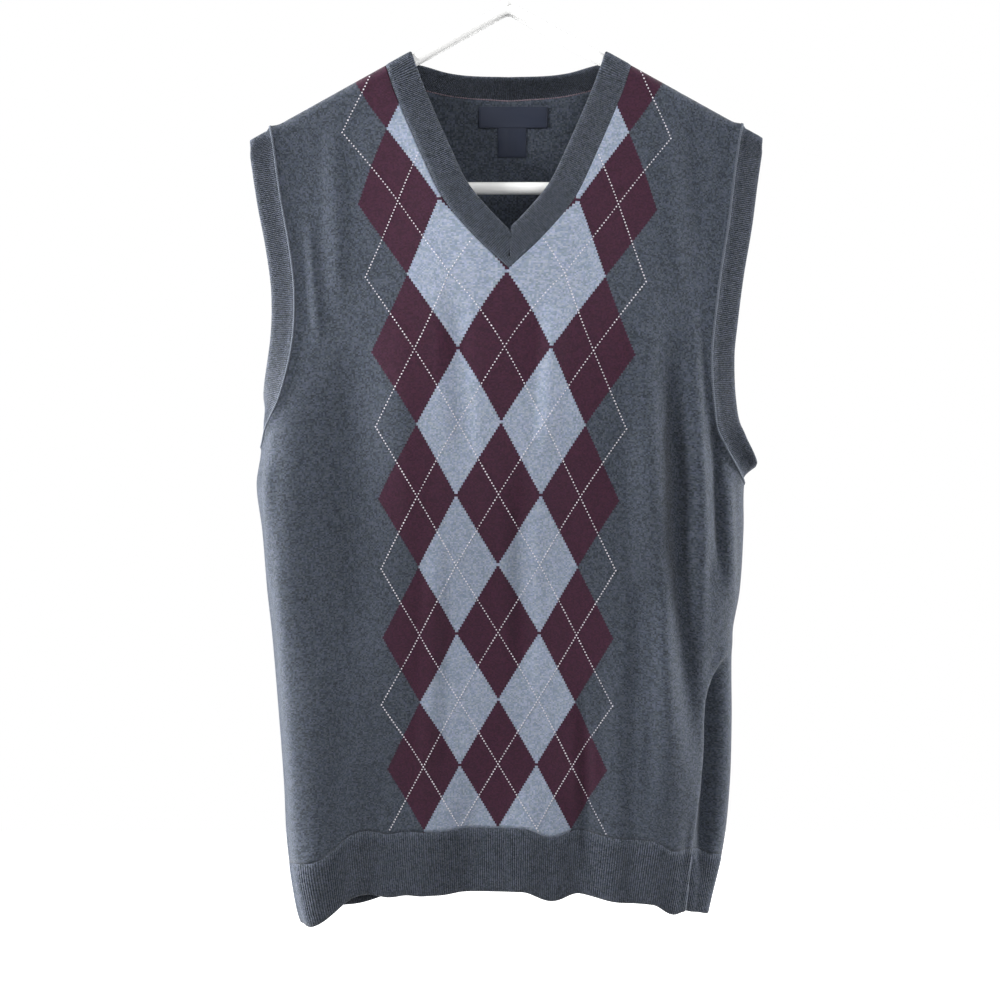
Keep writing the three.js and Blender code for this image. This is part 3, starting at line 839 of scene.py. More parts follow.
# The two slanting legs of each knit stitch, as a height
def stitchHeight(waleCount, courseCount):
    side = (waleCount.maths("FRACT") - 0.5).maths("ABSOLUTE")
    leg = (side * (2 * math.pi)).maths("SINE")
    slanted = courseCount + side * knit["slant"]
    strand = (slanted.maths("FRACT") * math.pi).maths("SINE")
    return leg * (strand * 0.6 + 0.4)


def bumped(shader, height, strength, depth):
    inputs = {"Strength": strength, "Distance": depth, "Height": height}
    feed(shader, "Normal", wireOf(height.tree, "ShaderNodeBump", inputs))


def clothCoordinates(tree):
    uv = wireOf(tree, "ShaderNodeUVMap", uv_map="cloth")
    parts = addNode(tree, "ShaderNodeSeparateXYZ", {0: uv}).outputs
    return Wire(tree, parts[0]), Wire(tree, parts[1])


def makeKnit(name, patterned):
    material, tree, shader = newMaterial(name, knit["roughness"], knit["sheen"])
    column, row = clothCoordinates(tree)
    waleCount = column * argyle["walesPerColumn"]
    courseCount = row * argyle["coursesPerRow"]
    wale, course = waleCount.maths("FLOOR"), courseCount.maths("FLOOR")
    colour, amount = yarn["charcoal"], yarn["heather"]["charcoal"]
    if patterned:
        across = (wale + 0.5) / argyle["walesPerColumn"]
        up = (course + 0.5) / argyle["coursesPerRow"]
        total = across.maths("PINGPONG", 1.0) + (up * 2.0 + 1.0).maths("PINGPONG", 1.0)
        diamonds = (
            ("burgundy", "LESS_THAN", argyle["reach"]),
            ("blueGrey", "GREATER_THAN", argyle["lightReach"]),
        )
        for dye, test, reach in diamonds:
            inReach = across.maths("ABSOLUTE").maths("LESS_THAN", reach)
            share = total.maths(test, 1.0) * inReach
            colour = mixColour(tree, share, colour, yarn[dye])
            amount = share * (yarn["heather"][dye] - yarn["heather"]["charcoal"]) + amount
    feed(shader, "Base Color", heathered(tree, colour, wale, course, amount))
    bumped(shader, stitchHeight(waleCount, courseCount), **stitchBump)
    return material


# Rib coordinates: ribs along the band, and millimetres across it
def makeRibKnit(name):
    material, tree, shader = newMaterial(name, knit["roughness"], knit["sheen"])
    along, across = clothCoordinates(tree)
    courseCount = across / knit["ribCourse"]
    wale, course = (along * 2.0).maths("FLOOR"), courseCount.maths("FLOOR")
    # painted shade: the colour darkens towards the valleys between the ribs, where shade falls
    column = (along * math.pi).maths("SINE").maths("ABSOLUTE")
    shade = column * (1 - yarn["ribValleyPaintedShade"]) + yarn["ribValleyPaintedShade"]
    colour = tinted(tree, yarn["ribCharcoal"], shade, shade, shade)
    amount = yarn["heather"]["charcoal"]
    feed(shader, "Base Color", heathered(tree, colour, wale, course, amount))
    bumped(shader, stitchHeight(along, courseCount), **stitchBump)
    return material


def makeThread(name, colour):
    material, tree, shader = newMaterial(name, thread["roughness"], thread["sheen"])
    fibre = noiseOf(tree, thread["fibres"], 3.0)
    shade = fibre * thread["swing"] + thread["darkest"]
    feed(shader, "Base Color", tinted(tree, colour, shade, shade, shade))
    bumped(shader, fibre, **threadBump)
    return material


# Woven satin: fine weft floats along the label, with the warp between them. Its colour is painted shade
# and light: darker where the weave lies low, lighter where it stands high
def makeSatin(name):
    material, tree, shader = newMaterial(name, satin["roughness"], satin["sheen"])
    feed(shader, "Anisotropic", satin["anisotropy"])
    across, up = clothCoordinates(tree)
    weft = (up * (2 * math.pi / satin["weft"])).maths("SINE")
    shift = (up / satin["weft"]).maths("FLOOR") * satin["shift"]
    floats = (across * (2 * math.pi / satin["float"]) + shift).maths("SINE")
    height = weft + floats * satin["floatShare"]
    # painted shade and light: the colour follows the weave's height, darker in its hollows
    shade = height * satin["shade"] + 1.0
    feed(shader, "Base Color", tinted(tree, yarn["navy"], shade, shade, shade))
    bumped(shader, height, **satinBump)
    return material


def makePlastic(name):
    material, tree, shader = newMaterial(name, plastic["roughness"])
    haze = noiseOf(tree, plastic["haze"], 4.0)
    feed(shader, "Base Color", mixColour(tree, haze, plastic["dull"], plastic["bright"]))
    feed(shader, "Roughness", haze * plastic["roughening"] + plastic["smoothest"])
    bumped(shader, haze, **plasticBump)
    return material


argyleKnit = makeKnit("argyleKnit", True)
plainKnit = makeKnit("plainKnit", False)
ribKnit = makeRibKnit("ribKnit")
overcheckThread = makeThread("overcheckThread", yarn["overcheck"])
# the linking stitches' thread is painted lighter than the yarn, as a highlight on the raised seams
linkingThreadPaintedHighlight = makeThread("linkingThreadPaintedHighlight", yarn["linkingPaintedHighlight"])
neckTapeThread = makeThread("neckTapeThread", yarn["mauve"])
labelThread = makeThread("labelThread", yarn["navy"])
labelSatin = makeSatin("labelSatin")
whitePlastic = makePlastic("whitePlastic")
print("materials made")

# Levels of a panel: from the hem rib to the pit, to the V point, to the saddle, and over it
vPointShare = float((form["vPointZ"] - pitZ(0)) / (ridgeZ(0) - saddleDrop - pitZ(0)))
lower, pit, chest = (fineness[key] for key in ("lowerRows", "pitRows", "chestRows"))
lowerLevels = [("below", 1 - k / lower) for k in range(lower)]
pitShares = [vPointShare * (k / pit) ** fineness["pitSpacing"] for k in range(1, pit)]
pitLevels = [("below", 0)] + [("above", share) for share in pitShares]
chestLevels = [("above", mix(vPointShare, 1, k / chest)) for k in range(chest + 1)]
saddleLevels = [("saddle", math.radians(angle)) for angle in fineness["saddleAngles"]]
panelLevels = lowerLevels + pitLevels + chestLevels + saddleLevels
panelSheets = {}


def draped(points, quads, face):
    normals = sheetNormals(points, quads, seamPlane=True)
    return points + normals * foldRise(points[:, 0], points[:, 2], face)[:, None]


# How much further the cloth reaches round the side than it does seen from the front
def spreadOf(rows, side):
    steps = np.linalg.norm(np.diff(rows, axis=1), axis=2)
    lengths = np.concatenate([np.zeros((len(rows), 1)), np.cumsum(steps, axis=1)], axis=1)
    out = np.abs(rows[..., 0])
    extra = lengths - (out - out[:, :1])
    start = [np.interp(argyle["flatReach"], out[k], extra[k]) for k in range(len(rows))]
    return np.maximum(0, extra - np.array(start)[:, None]) * side


# Rolls the cloth up along the armhole seams, row by row from the pit
def rollSeams(points, quads, numbered):
    normals = sheetNormals(points, quads, seamPlane=True)
    rowsIn = cloth["seamRollRows"]
    for body, saddle in (numbered[:2], numbered[2:]):
        for ids, start in ((body[len(lowerLevels) :], 0), (saddle[1:], rowsIn)):
            fromSeam = np.linalg.norm(points[ids] - points[ids[:, -1:]], axis=-1)
            roll = cloth["seamRoll"] * np.exp(-((fromSeam / cloth["seamRollReach"]) ** 2))
            roll *= smoothStep(0, rowsIn, start + np.arange(len(ids)))[:, None]
            points[ids] += normals[ids] * roll[..., None]


# A body panel, with its argyle coordinates, and the seams on its edges that the bands start from
def bodyPanel(name, face, material):
    count = fineness["halfColumns"][face]
    shares = np.linspace(0, 1, count + 1)
    corner = count // 2 if face == back else 0
    saddleRow = len(panelLevels) - len(saddleLevels)
    grids = []
    for side in (right, left):
        rows = halfPanel(panelLevels, face, side, shares)
        rows = np.concatenate([rows, spreadOf(rows, side)[..., None]], axis=-1)
        for part in (rows[:saddleRow], rows[saddleRow - 1 :, corner:]):
            grids.append((part, side * face > 0))
    flat, extras, quads, numbered = joinGrids(grids)
    x, z = flat[:, 0], flat[:, 2]
    column, row = argyleAt(x, z) if face == front else (x / plainColumn, -z / plainRow)
    column = column + extras[:, 0] / sideColumn
    points = draped(flat, quads, face)
    rollSeams(points, quads, numbered)
    normals = sheetNormals(points, quads, seamPlane=True)
    pitRow = len(lowerLevels)
    firstChestRow = pitRow + len(pitLevels)
    panelSheets[face] = {}
    for side, body, saddle in ((right, *numbered[:2]), (left, *numbered[2:])):
        alongNeck = body[firstChestRow:, 0] if face == front else body[-1, : corner + 1]
        edges = {
            "armhole": np.concatenate([body[pitRow:, -1], saddle[1:, -1]]),
            "neck": np.concatenate([alongNeck, saddle[1:, 0]]),
            "side": body[: pitRow + 1, -1],
        }
        seams = {seam: (points[ids], normals[ids]) for seam, ids in edges.items()}
        panelSheets[face][side] = seams
    vertices, faces, source = wallOf(points, quads, normals, cloth["panelThickness"])
    uv = np.stack([column, row], axis=-1)[source]
    return meshObject(name, vertices, faces, uv, material=material)


frontPanel = bodyPanel("frontPanel", front, argyleKnit)
backPanel = bodyPanel("backPanel", back, plainKnit)
print("panels made")


# A grid of points with its rib coordinates: ribs along it, and millimetres across it
def ribGrid(rows, phase, across):
    channels = [np.broadcast_to(values, rows.shape[:2])[..., None] for values in (phase, across)]
    return np.concatenate([rows, *channels], axis=-1)


def ribbedObject(name, points, quads, channels, depth):
    phase, across = channels.T
    thickness = cloth["bandThickness"]
    normals = sheetNormals(points, quads)
    bulge = thickness * ribbing["edgeBulge"]
    vertices, faces, source = wallOf(points, quads, normals, thickness, bulge)
    rimFade = mix(ribbing["rimShare"], 1, smoothStep(0, ribbing["rimFade"], depth - across))
    fade = smoothStep(0, ribbing["edgeFade"], across) * rimFade
    outward = normals[source] / 1000
    attributes = {"ribPhase": phase[source], "ribFade": fade[source], "outward": outward}
    made = meshObject(name, vertices, faces, channels[source], attributes)
    height, roundness = ribbing["height"], ribbing["roundness"]
    settings = {"Rib height": height, "Rib roundness": roundness, "Material": ribKnit}
    return settleTree(made, ribTree, settings)


def hemRib(name, face):
    levels = [("rib", 1 - k / fineness["ribRows"]) for k in range(fineness["ribRows"] + 1)]
    across = np.array([share * form["hemRibDepth"] for kind, share in levels])[:, None]
    grids = []
    for side in (right, left):
        coarse = halfPanel(levels[-1:], face, side, np.linspace(0, 1, fineness["ribSamples"]))[0]
        length = np.linalg.norm(np.diff(coarse, axis=0), axis=1).sum()
        steps = round(length / ribbing["hemPitch"]) * fineness["pointsPerRib"]
        rows = halfPanel(levels, face, side, np.linspace(0, 1, steps + 1))
        phase = np.arange(steps + 1) / fineness["pointsPerRib"] * side
        grids.append((ribGrid(rows, phase, across), side * face > 0))
    points, channels, quads, numbered = joinGrids(grids)
    return ribbedObject(name, draped(points, quads, face), quads, channels, form["hemRibDepth"])


frontHem = hemRib("frontHemRib", front)
backHem = hemRib("backHemRib", back)
print("hem ribs made")


def meeting(a, b):
    return (a[0] + b[0]) / 2, unit(a[1] + b[1])


# Evens out a closed run of vectors, so that a band doesn't follow each fold at its seam
def evened(vectors):
    for turn in range(armbandShape["eveningTurns"]):
        before, after = np.roll(vectors, 1, axis=0), np.roll(vectors, -1, axis=0)
        vectors = unit(before + vectors + after)
    return vectors


# Joins runs of seam points and normals, with the ends of neighbours met halfway
def joinRuns(runs):
    points, normals = (list(part) for part in runs[0])
    for nextPoints, nextNormals in runs[1:]:
        ends = (points[-1], normals[-1]), (nextPoints[0], nextNormals[0])
        points[-1], normals[-1] = meeting(*ends)
        points.extend(nextPoints[1:])
        normals.extend(nextNormals[1:])
    return np.array(points), np.array(normals)


def reversedRun(run):
    return run[0][::-1], run[1][::-1]


# Reads a run of vectors at other lengths, on smooth curves through its points
def resample(values, lengths, wanted):
    columns = [readTable({"s": lengths, "v": column}, "s", "v", wanted) for column in values.T]
    return np.stack(columns, axis=-1)


# Directions across a band: in the cloth and square to the seam, or straight along the arm on top
def acrossSeam(points, normals, turn, outward, closed):
    if closed:
        along = np.roll(points, -1, axis=0) - np.roll(points, 1, axis=0)
    else:
        along = np.gradient(points, axis=0)
    square = unit(np.cross(unit(along), normals)) * turn
    slope = np.tile([1.0, 0, -form["shoulderSlope"]], (len(points), 1))
    slope[:, 0] = np.sign(points[:, 0])
    below = ridgeZ(points[:, 0]) - points[:, 2]
    onTop = 1 - smoothStep(saddleDrop, saddleDrop + cloth["bandTurn"], below)
    return unit(mix(square, slope * outward / perpendicular, onTop[:, None]))


# One band: rows across by fine columns along, ribbed square to its seam
def bandObject(name, rows, lengths, width, flip):
    steps = round(lengths[-1] / ribbing["bandPitch"]) * fineness["pointsPerRib"]
    wanted = np.linspace(0, lengths[-1], steps + 1)
    fine = np.array([resample(row, lengths, wanted) for row in rows])
    phase = np.arange(steps + 1) / fineness["pointsPerRib"]
    grid = ribGrid(fine, phase, np.linspace(0, width, len(rows))[:, None])
    quads = gridQuads(np.arange(len(rows) * len(wanted)).reshape(len(rows), -1), flip)
    flat = grid.reshape(-1, grid.shape[-1])
    return ribbedObject(name, flat[:, :3], quads, flat[:, 3:], width)


armbandShape = {
    "width": 19,
    "flareReach": {right: 44, left: 28},
    "flare": {right: -1.6, left: 2.0},
    "flareFrom": 0.23,
    "eveningTurns": 5,
}
armholeSeams = {}


# The armband starts at the pit, goes up the back, over the shoulder and down the front
def armband(name, side):
    upBack = panelSheets[back][side]["armhole"]
    downFront = reversedRun(panelSheets[front][side]["armhole"])
    points, normals = joinRuns([upBack, downFront])
    pit, pitNormal = meeting((points[0], normals[0]), (points[-1], normals[-1]))
    points = np.concatenate([pit[None], points[1:-1]])
    normals = np.concatenate([pitNormal[None], normals[1:-1]])
    plain = [drapedPoints(points[:, 0], points[:, 2], face)[1] for face in (front, back)]
    plain = np.where(points[:, 1:2] < 0, *plain)
    normals = evened(normals)
    across = evened(acrossSeam(points, plain, -side, 1, True))
    points, normals, across = (np.concatenate([a, a[:1]]) for a in (points, normals, across))
    armholeSeams[side] = (points, normals)
    fromPit = (points[:, 2] - pit[2]) / armbandShape["flareReach"][side]
    nearPit = np.exp(-(fromPit**2))[:, None]
    count, width = fineness["bandRows"], armbandShape["width"]
    rows = [points + across * cloth["seamGap"]]
    for row in range(1, count + 1):
        flared = max(0, row / count - armbandShape["flareFrom"])
        way = unit(across + normals * armbandShape["flare"][side] * nearPit * flared)
        sink = cloth["seamRoll"] if row == 1 else 0
        rows.append(rows[-1] + way * width / count - normals * sink)
    return bandObject(name, rows, lengthsAlong(points), width, side == right)


neckbandShape = {
    "width": 23,
    "mitreLean": 0.075,
    "mitreGap": 0.4,
    "backLean": 0.4,
    "facesMitre": -0.05,
    "shortest": 0.4,
    "rows": 7,
}


# Behind the neck the band narrows towards its rim and leans forward at the middle
def backRimPoints(points):
    last = backRim["x"][-1]
    x = points[:, 0] * last / backNeck["x"][-1]
    z = readTable(backRim, "x", "z", np.abs(x))
    lean = neckbandShape["backLean"] * (1 - smoothStep(0, last, np.abs(x)))
    return np.stack([x, halfDepth(x, z) * (1 - lean), z], axis=-1)


def neckSeam():
    frontSeams, backSeams = (
        {side: panelSheets[face][side]["neck"] for side in (right, left)} for face in (front, back)
    )
    behind = [reversedRun(backSeams[right]), backSeams[left]]
    return joinRuns([frontSeams[right], *behind, reversedRun(frontSeams[left])])


# The neckband is one strip from the V point over both shoulders, cut off at the mitre
def neckband(name):
    shape = neckbandShape
    points, normals = neckSeam()
    across = acrossSeam(points, normals, 1, -1, False)
    side = np.sign(points[:, 0])
    middle = shape["mitreLean"] * (points[:, 2] - form["vPointZ"]) + side * shape["mitreGap"]
    closing = across[:, 0] - shape["mitreLean"] * across[:, 2]
    facing = (points[:, 1] < 0) & (closing * side < shape["facesMitre"])
    toMitre = np.where(facing, (middle - points[:, 0]) / np.where(facing, closing, 1), np.inf)
    reach = np.minimum(shape["width"], toMitre)
    rims = points + across * reach[:, None]
    below = ridgeZ(points[:, 0]) - points[:, 2]
    behind = np.where(points[:, 1] > 0, smoothStep(saddleDrop - 1, saddleDrop + 1, below), 0)
    rims = mix(rims, backRimPoints(points), behind[:, None])
    kept = reach > shape["shortest"]
    points, across, rims = (values[kept] for values in (points, across, rims))
    starts = points + across * cloth["neckSeamGap"]
    rows = [mix(starts, rims, share) for share in np.linspace(0, 1, shape["rows"] + 1)]
    return bandObject(name, rows, lengthsAlong(points), shape["width"], True)


neckbandRib = neckband("neckbandRib")
armbandRibs = {right: armband("armbandRibRight", right), left: armband("armbandRibLeft", left)}
print("bands made")

# Stitches: length, width and height of one, its pitch, how far it stands proud, and how uneven
stitchColumns = ("length", "width", "height", "pitch", "proud", "uneven")
stitchRows = {
    "overcheck": (1.5, 1.25, 0.85, 2.4, 0.12, 0.15),
    "armhole": (2.1, 2.6, 1.3, 1.6, 0.1, 0.1),
    "side": (1.7, 1.1, 0.8, 1.6, 0.0, 0.12),
    "backNeck": (2.3, 1.2, 0.8, 2.1, 0.1, 0.15),
    "label": (1.5, 0.45, 0.4, 2.0, 0.0, 0.1),
}
stitches = {kind: dict(zip(stitchColumns, row)) for kind, row in stitchRows.items()}


def stitchObject(name, kind, points, normals, along, material, seed):
    made = meshObject(name, points, [], attributes={"outward": normals, "along": along})
    sizes = stitches[kind]
    settings = {"Stitch " + key: sizes[key] / 1000 for key in ("length", "width", "height")}
    settings.update({"Unevenness": sizes["uneven"], "Seed": seed, "Material": material})
    return settleTree(made, stitchTree, settings)


# Even places along a run of points, with the normals and directions there
def spacedAlong(points, normals, pitch):
    lengths = lengthsAlong(points)
    count = max(2, round(lengths[-1] / pitch))
    wanted = (np.arange(count) + 0.5) * lengths[-1] / count
    runs = (points, normals, np.gradient(points, axis=0))
    placed, facing, along = (resample(run, lengths, wanted) for run in runs)
    return placed, unit(facing), unit(along)


# Stitches along a run of seam points, lifted off the cloth's middle to its surface
def stitchesAlong(name, kind, points, normals, material, seed):
    placed, facing, along = spacedAlong(points, normals, stitches[kind]["pitch"])
    placed = placed + facing * (surfaceLift + stitches[kind]["proud"])
    return stitchObject(name, kind, placed, facing, along, material, seed)


surfaceLift = cloth["panelThickness"] / 2
# the armhole linking stitches carry the thread painted lighter as a highlight
armholeStitches = {
    side: stitchesAlong(name, "armhole", *armholeSeams[side], linkingThreadPaintedHighlight, seed)
    for side, name, seed in ((right, "armholeLinkingRight", 3), (left, "armholeLinkingLeft", 4))
}
behindRight, behindLeft = (panelSheets[back][side]["neck"] for side in (right, left))
tapePoints, tapeNormals = joinRuns([reversedRun(behindRight), behindLeft])
backNeckStitches = stitchesAlong(
    "backNeckLinking", "backNeck", tapePoints, -tapeNormals, neckTapeThread, 5
)


# The dotted lines of the overcheck, which cross at the middle of each diamond
def overcheckPoints():
    steps = argyle["reach"] * argyle["walesPerColumn"]
    columns = np.arange(-steps, steps + 1) / argyle["walesPerColumn"]
    lines = []
    for row in range(argyle["firstLine"], argyle["lastLine"] + 1):
        for lean in (-0.5, 0.5):
            rows = row + 0.5 + lean * columns
            x, z = argylePlace(columns, rows)
            margin = argyle["marginAtBands"]
            onFront = z > hemZ(x, front) + form["hemRibDepth"] + argyle["marginAtHem"]
            onFront &= (z < form["vPointZ"]) | (np.abs(x) > readTable(frontNeck, "z", "x", z) + margin)
            onFront &= ridgeZ(x) - z > margin
            onFront &= np.abs(rows - argyle["middleRow"]) < argyle["rowsEachWay"]
            places = np.stack([x, z], axis=-1)
            ahead = np.append(places[1:], [2 * places[-1] - places[-2]], axis=0)
            lines.append(np.concatenate([places, ahead - places], axis=-1)[onFront])
    return np.concatenate(lines)


def overcheckObject(name):
    found = overcheckPoints()
    points, normals = drapedPoints(found[:, 0], found[:, 1], front)
    along = np.stack([found[:, 2], np.zeros(len(found)), found[:, 3]], axis=-1)
    lifted = points + normals * (surfaceLift + stitches["overcheck"]["proud"])
    return stitchObject(name, "overcheck", lifted, normals, along, overcheckThread, 7)


overcheckDots = overcheckObject("overcheckStitches")
sideStitches = {}
for side, name, seed in ((right, "sideLinkingRight", 8), (left, "sideLinkingLeft", 9)):
    seamPoints = (panelSheets[front][side]["side"][0] + panelSheets[back][side]["side"][0]) / 2
    outward = np.tile([float(side), 0, 0], (len(seamPoints), 1))
    sideStitches[side] = stitchesAlong(name, "side", seamPoints, outward, linkingThreadPaintedHighlight, seed)
print("stitches set")

# Labels inside the back neck, left bare
labels = {
    "neckLabelSatin": {"x": 4, "top": -157, "width": 56, "height": 16.5, "layersBehind": 1},
    "sizeLabelSatin": {"x": 3, "top": -163, "width": 23, "height": 34, "layersBehind": 0},
    "thickness": 0.55,
    "gap": 0.12,
    "edgeLift": 0.35,
    "edgeBulge": 0.2,
    "clearance": 0.3,
    "ripples": 2.5,
    "rippleStart": 0.6,
    "columns": 33,
    "rows": 17,
}


def labelObject(name):
    shape = labels[name]
    spans = (np.linspace(0, 1, labels[key]) for key in ("columns", "rows"))
    acrossShares, upShares = np.meshgrid(*spans)
    x = shape["x"] + shape["width"] * (acrossShares - 0.5)
    z = shape["top"] - shape["height"] * (1 - upShares)
    points, normals = drapedPoints(x, z, back)
    layer = labels["thickness"] + labels["gap"]
    rise = surfaceLift + labels["gap"] + labels["thickness"] / 2 + shape["layersBehind"] * layer
    edge = np.maximum(np.abs(2 * acrossShares - 1), np.abs(2 * upShares - 1))
    ripple = np.sin(math.pi * acrossShares * labels["ripples"] + labels["rippleStart"])
    rise = rise + labels["edgeLift"] * ripple * (1 - edge**4)
    clear = np.maximum(rise, surfaceLift + labels["clearance"])
    flat = (points - normals * clear[..., None]).reshape(-1, 3)
    quads = gridQuads(np.arange(x.size).reshape(x.shape))
    facing = sheetNormals(flat, quads)
    walls = wallOf(flat, quads, facing, labels["thickness"], labels["edgeBulge"])
    vertices, faces, source = walls
    uv = np.stack([x.ravel(), z.ravel()], axis=-1)[source]
    made = meshObject(name, vertices, faces, uv, material=labelSatin)
    return made, points - normals * (rise + labels["thickness"] / 2)[..., None], -normals


# Down both ends of a label
def labelStitches(name, face, normals, seed):
    pitch = stitches["label"]["pitch"]
    runs = [spacedAlong(face[1:-1, k], normals[1:-1, k], pitch) for k in (1, -2)]
    placed, facing, along = (np.concatenate(arrays) for arrays in zip(*runs))
    return stitchObject(name, "label", placed, facing, along, labelThread, seed)


neckLabel, labelFace, labelNormals = labelObject("neckLabelSatin")
neckLabelStitches = labelStitches("neckLabelStitches", labelFace, labelNormals, 11)
sizeLabel = labelObject("sizeLabelSatin")[0]
print("labels made")

# The white hanger: one bent tube, and its hook
hanger = {
    "armRadius": 5,
    "halfWidth": 175,
    "endTurn": 17,
    "endBulge": 1.2,
    "barZ": -225,
    "apexRounding": 9,
    "rodRadius": 3.25,
    "hookRadius": 19,
    "collarRadius": 5.6,
    "collarHeight": 7,
    "armSides": 28,
    "rodSides": 24,
    "hookTurn": (-52, 196),
    "hookSteps": 60,
    "tipShares": (0.5, 0.9, 1.1),
    "tipRadii": (0.9, 0.6, 0.25),
}


def bezier(points, count):
    t = np.linspace(0, 1, count)[:, None]
    a, b, c, d = (np.array(point, float) for point in points)
    return a * (1 - t) ** 3 + 3 * b * t * (1 - t) ** 2 + 3 * c * t * t * (1 - t) + d * t**3


# A round tube along a path of (x, z) points in the plane y = 0. Its radius may change along it.
def tubeMesh(path, radii, sides, closed):
    if closed:
        tangent = unit(np.roll(path, -1, axis=0) - np.roll(path, 1, axis=0))
    else:
        tangent = unit(np.gradient(path, axis=0))
    turns = np.linspace(0, 2 * math.pi, sides, endpoint=False)
    radii = np.broadcast_to(radii, len(path))[:, None]
    x = path[:, :1] + radii * np.cos(turns) * tangent[:, 1:]
    z = path[:, 1:] - radii * np.cos(turns) * tangent[:, :1]
    y = radii * np.sin(turns) * np.ones_like(x)
    vertices = np.stack([x, y, z], axis=-1).reshape(-1, 3)
    rings = len(path)
    faces = []
    for ring in range(rings if closed else rings - 1):
        here, after = ring * sides, (ring + 1) % rings * sides
        for k in range(sides):
            turn = (k + 1) % sides
            faces.append((here + k, after + k, after + turn, here + turn))
    if not closed:
        faces.append(tuple(range(sides)))
        faces.append(tuple((rings - 1) * sides + k for k in reversed(range(sides))))
    return vertices, faces


def arcPoints(centre, radius, start, end, count):
    turns = np.radians(np.linspace(start, end, count))
    return np.stack([centre[0] + radius * np.cos(turns), centre[1] + radius * np.sin(turns)], axis=-1)


def armPath():
    slope = form["shoulderSlope"]
    apexZ = form["armsApexZ"]
    rounding = hanger["apexRounding"]
    corner = (rounding, apexZ - slope * rounding)
    endX = hanger["halfWidth"] - hanger["endTurn"]
    armEnd = (endX, apexZ - slope * endX)
    bulge = hanger["endTurn"] * hanger["endBulge"]
    out = (endX + bulge, armEnd[1] - slope * bulge)
    under = (endX + bulge, hanger["barZ"])
    top = bezier([(0, apexZ - slope * 3), (3, apexZ - slope * 3), (5, apexZ - slope * 5), corner], 6)
    arm = np.linspace(corner, armEnd, 12)[1:-1]
    bend = bezier([armEnd, out, under, (endX, hanger["barZ"])], 26)
    bar = np.linspace((endX, hanger["barZ"]), (0, hanger["barZ"]), 8)[1:]
    return np.concatenate([top, arm, bend, bar])


def hangerFrameObject(name):
    half = armPath()
    path = np.concatenate([half, (half * [-1, 1])[::-1][1:-1]])
    vertices, faces = tubeMesh(path, hanger["armRadius"], hanger["armSides"], True)
    return meshObject(name, vertices, faces, material=whitePlastic)


def hookObject(name):
    rod, collar = hanger["rodRadius"], hanger["collarRadius"]
    footZ = form["armsApexZ"] + hanger["armRadius"] * perpendicular
    collarTop = footZ + hanger["collarHeight"]
    centre = (0, rod - hanger["hookRadius"])
    arc = arcPoints(centre, hanger["hookRadius"], *hanger["hookTurn"], hanger["hookSteps"])
    neck = bezier([(0, collarTop + 4), (0, collarTop + 14), (3, arc[0][1] - 9), tuple(arc[0])], 16)
    base = [(0, footZ - 4), (0, footZ), (0, collarTop - 1), (0, collarTop), (0, collarTop + 1)]
    tip = [arc[-1] + (arc[-1] - arc[-2]) * share for share in hanger["tipShares"]]
    path = np.concatenate([base, neck[:-1], arc, tip])
    baseRadii = [collar, collar, collar, collar * 0.9, rod]
    tipRadii = rod * np.array(hanger["tipRadii"])
    radii = np.concatenate([baseRadii, np.full(len(neck) - 1 + len(arc), rod), tipRadii])
    vertices, faces = tubeMesh(path, radii, hanger["rodSides"], False)
    return meshObject(name, vertices, faces, material=whitePlastic)


hangerFrame = hangerFrameObject("hangerFrame")
hangerHook = hookObject("hangerHook")
print("hanger made")

# Floor, light and camera
studio = {
    "floorZ": -1.15,
    "floorSize": 7.0,
    "skyToCamera": 1.0,
    "skyLight": 0.21,
}
lamps = {
    "key": {"place": (-2.1, -1.15, 0.55), "size": 0.7, "power": 67},
    "fill": {"place": (1.2, -2.35, 0.85), "size": 1.4, "power": 38},
    "behind": {"place": (1.7, 1.7, 0.7), "size": 1.2, "power": 44},
    "above": {"place": (0.0, -0.5, 1.5), "size": 1.6, "power": 7},
    "leftSide": {"place": (-2.2, 0.25, -0.3), "size": 1.2, "power": 150},
    "rightSide": {"place": (2.2, 0.1, -0.2), "size": 1.2, "power": 78},
}


def addFloor():
    bpy.ops.mesh.primitive_plane_add(size=studio["floorSize"], location=(0, 0, studio["floorZ"]))
    floor = bpy.context.object
    floor.name = "studioFloor"
    material, tree, shader = newMaterial("palePaper", 0.8)
    colour = mixColour(tree, noiseOf(tree, 30.0, 4.0), (0.93, 0.93, 0.93), (0.95, 0.95, 0.95))
    feed(shader, "Base Color", colour)
    feed(shader, "Emission Color", (1, 1, 1, 1))
    feed(shader, "Emission Strength", 0.95)
    floor.data.materials.append(material)
    floor.visible_diffuse = False


def addLamp(name, shape):
    light = bpy.data.lights.new(name, "AREA")
    light.shape = "DISK"
    light.size = shape["size"]
    light.energy = shape["power"]
    lamp = bpy.data.objects.new(name, light)
    lamp.location = shape["place"]
    aim = Vector((0, 0, -0.47)) - Vector(shape["place"])
    lamp.rotation_euler = aim.to_track_quat("-Z", "Y").to_euler()
    bpy.context.scene.collection.objects.link(lamp)


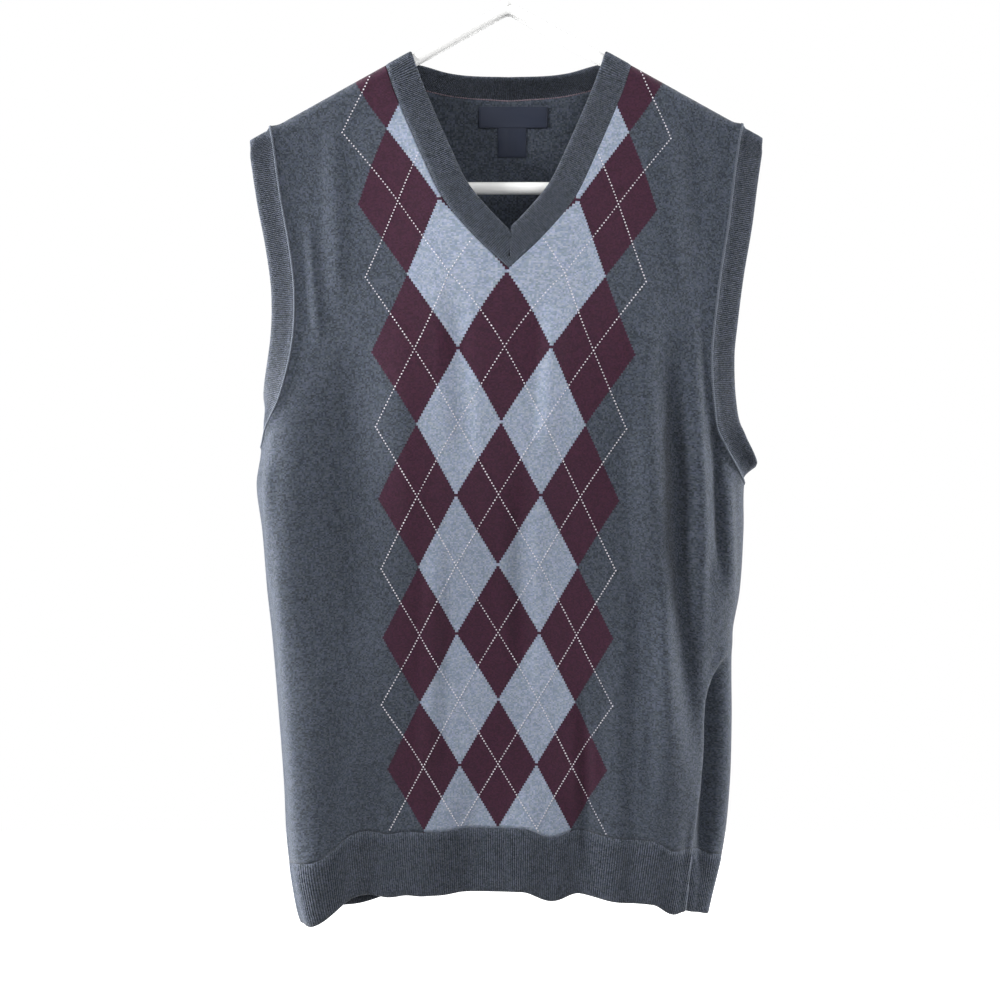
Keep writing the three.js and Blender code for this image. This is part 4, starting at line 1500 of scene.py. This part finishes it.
def setSky():
    world = bpy.data.worlds.new("studioSky")
    bpy.context.scene.world = world
    world.use_nodes = True
    tree = world.node_tree
    seen = wireOf(tree, "ShaderNodeLightPath", output="Is Camera Ray")
    strength = seen * (studio["skyToCamera"] - studio["skyLight"]) + studio["skyLight"]
    feed(tree.nodes["Background"], "Strength", strength)
    feed(tree.nodes["Background"], "Color", (1, 1, 1, 1))


def addCamera():
    lens = bpy.data.cameras.new("frontCamera")
    lens.sensor_width = camera["sensor"]
    lens.lens = camera["sensor"] * (camera["distance"] + camera["focusDepth"]) / camera["pictureWidth"]
    lens.clip_end = 50
    made = bpy.data.objects.new("frontCamera", lens)
    made.location = (camera["x"] / 1000, -camera["distance"] / 1000, camera["z"] / 1000)
    made.rotation_euler = (math.pi / 2, 0, 0)
    bpy.context.scene.collection.objects.link(made)
    bpy.context.scene.camera = made


addFloor()
for lampName, lampShape in lamps.items():
    addLamp(lampName + "Lamp", lampShape)
setSky()
addCamera()
bpy.context.scene.view_settings.view_transform = "Standard"
print("studio set")

# Each piece, its material slot, and the nodes that it stands for
pieces = [
    (frontPanel, "argyle_knit", "front_panel"),
    (backPanel, "plain_knit", "back_panel"),
    (frontHem, "ribbed_knit", "front_hem_rib"),
    (backHem, "ribbed_knit", "back_hem_rib"),
    (neckbandRib, "ribbed_knit", "neckband"),
    (armbandRibs[right], "ribbed_knit", "armband_right"),
    (armbandRibs[left], "ribbed_knit", "armband_left"),
    (neckLabel, "label_satin", "neck_label"),
    (sizeLabel, "label_satin", "size_label"),
    (hangerFrame, "hanger_plastic", "hanger_arm_right", "hanger_arm_left", "hanger_bar"),
    (hangerHook, "hanger_plastic", "hanger_hook"),
    (overcheckDots, "argyle_knit"),
    (armholeStitches[right], "ribbed_knit"),
    (armholeStitches[left], "ribbed_knit"),
    (sideStitches[right], "plain_knit"),
    (sideStitches[left], "plain_knit"),
    (backNeckStitches, "ribbed_knit"),
    (neckLabelStitches, "label_satin"),
]
for piece, slotName, *nodes in pieces:
    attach(piece, "root")
    if nodes:
        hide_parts(*nodes)
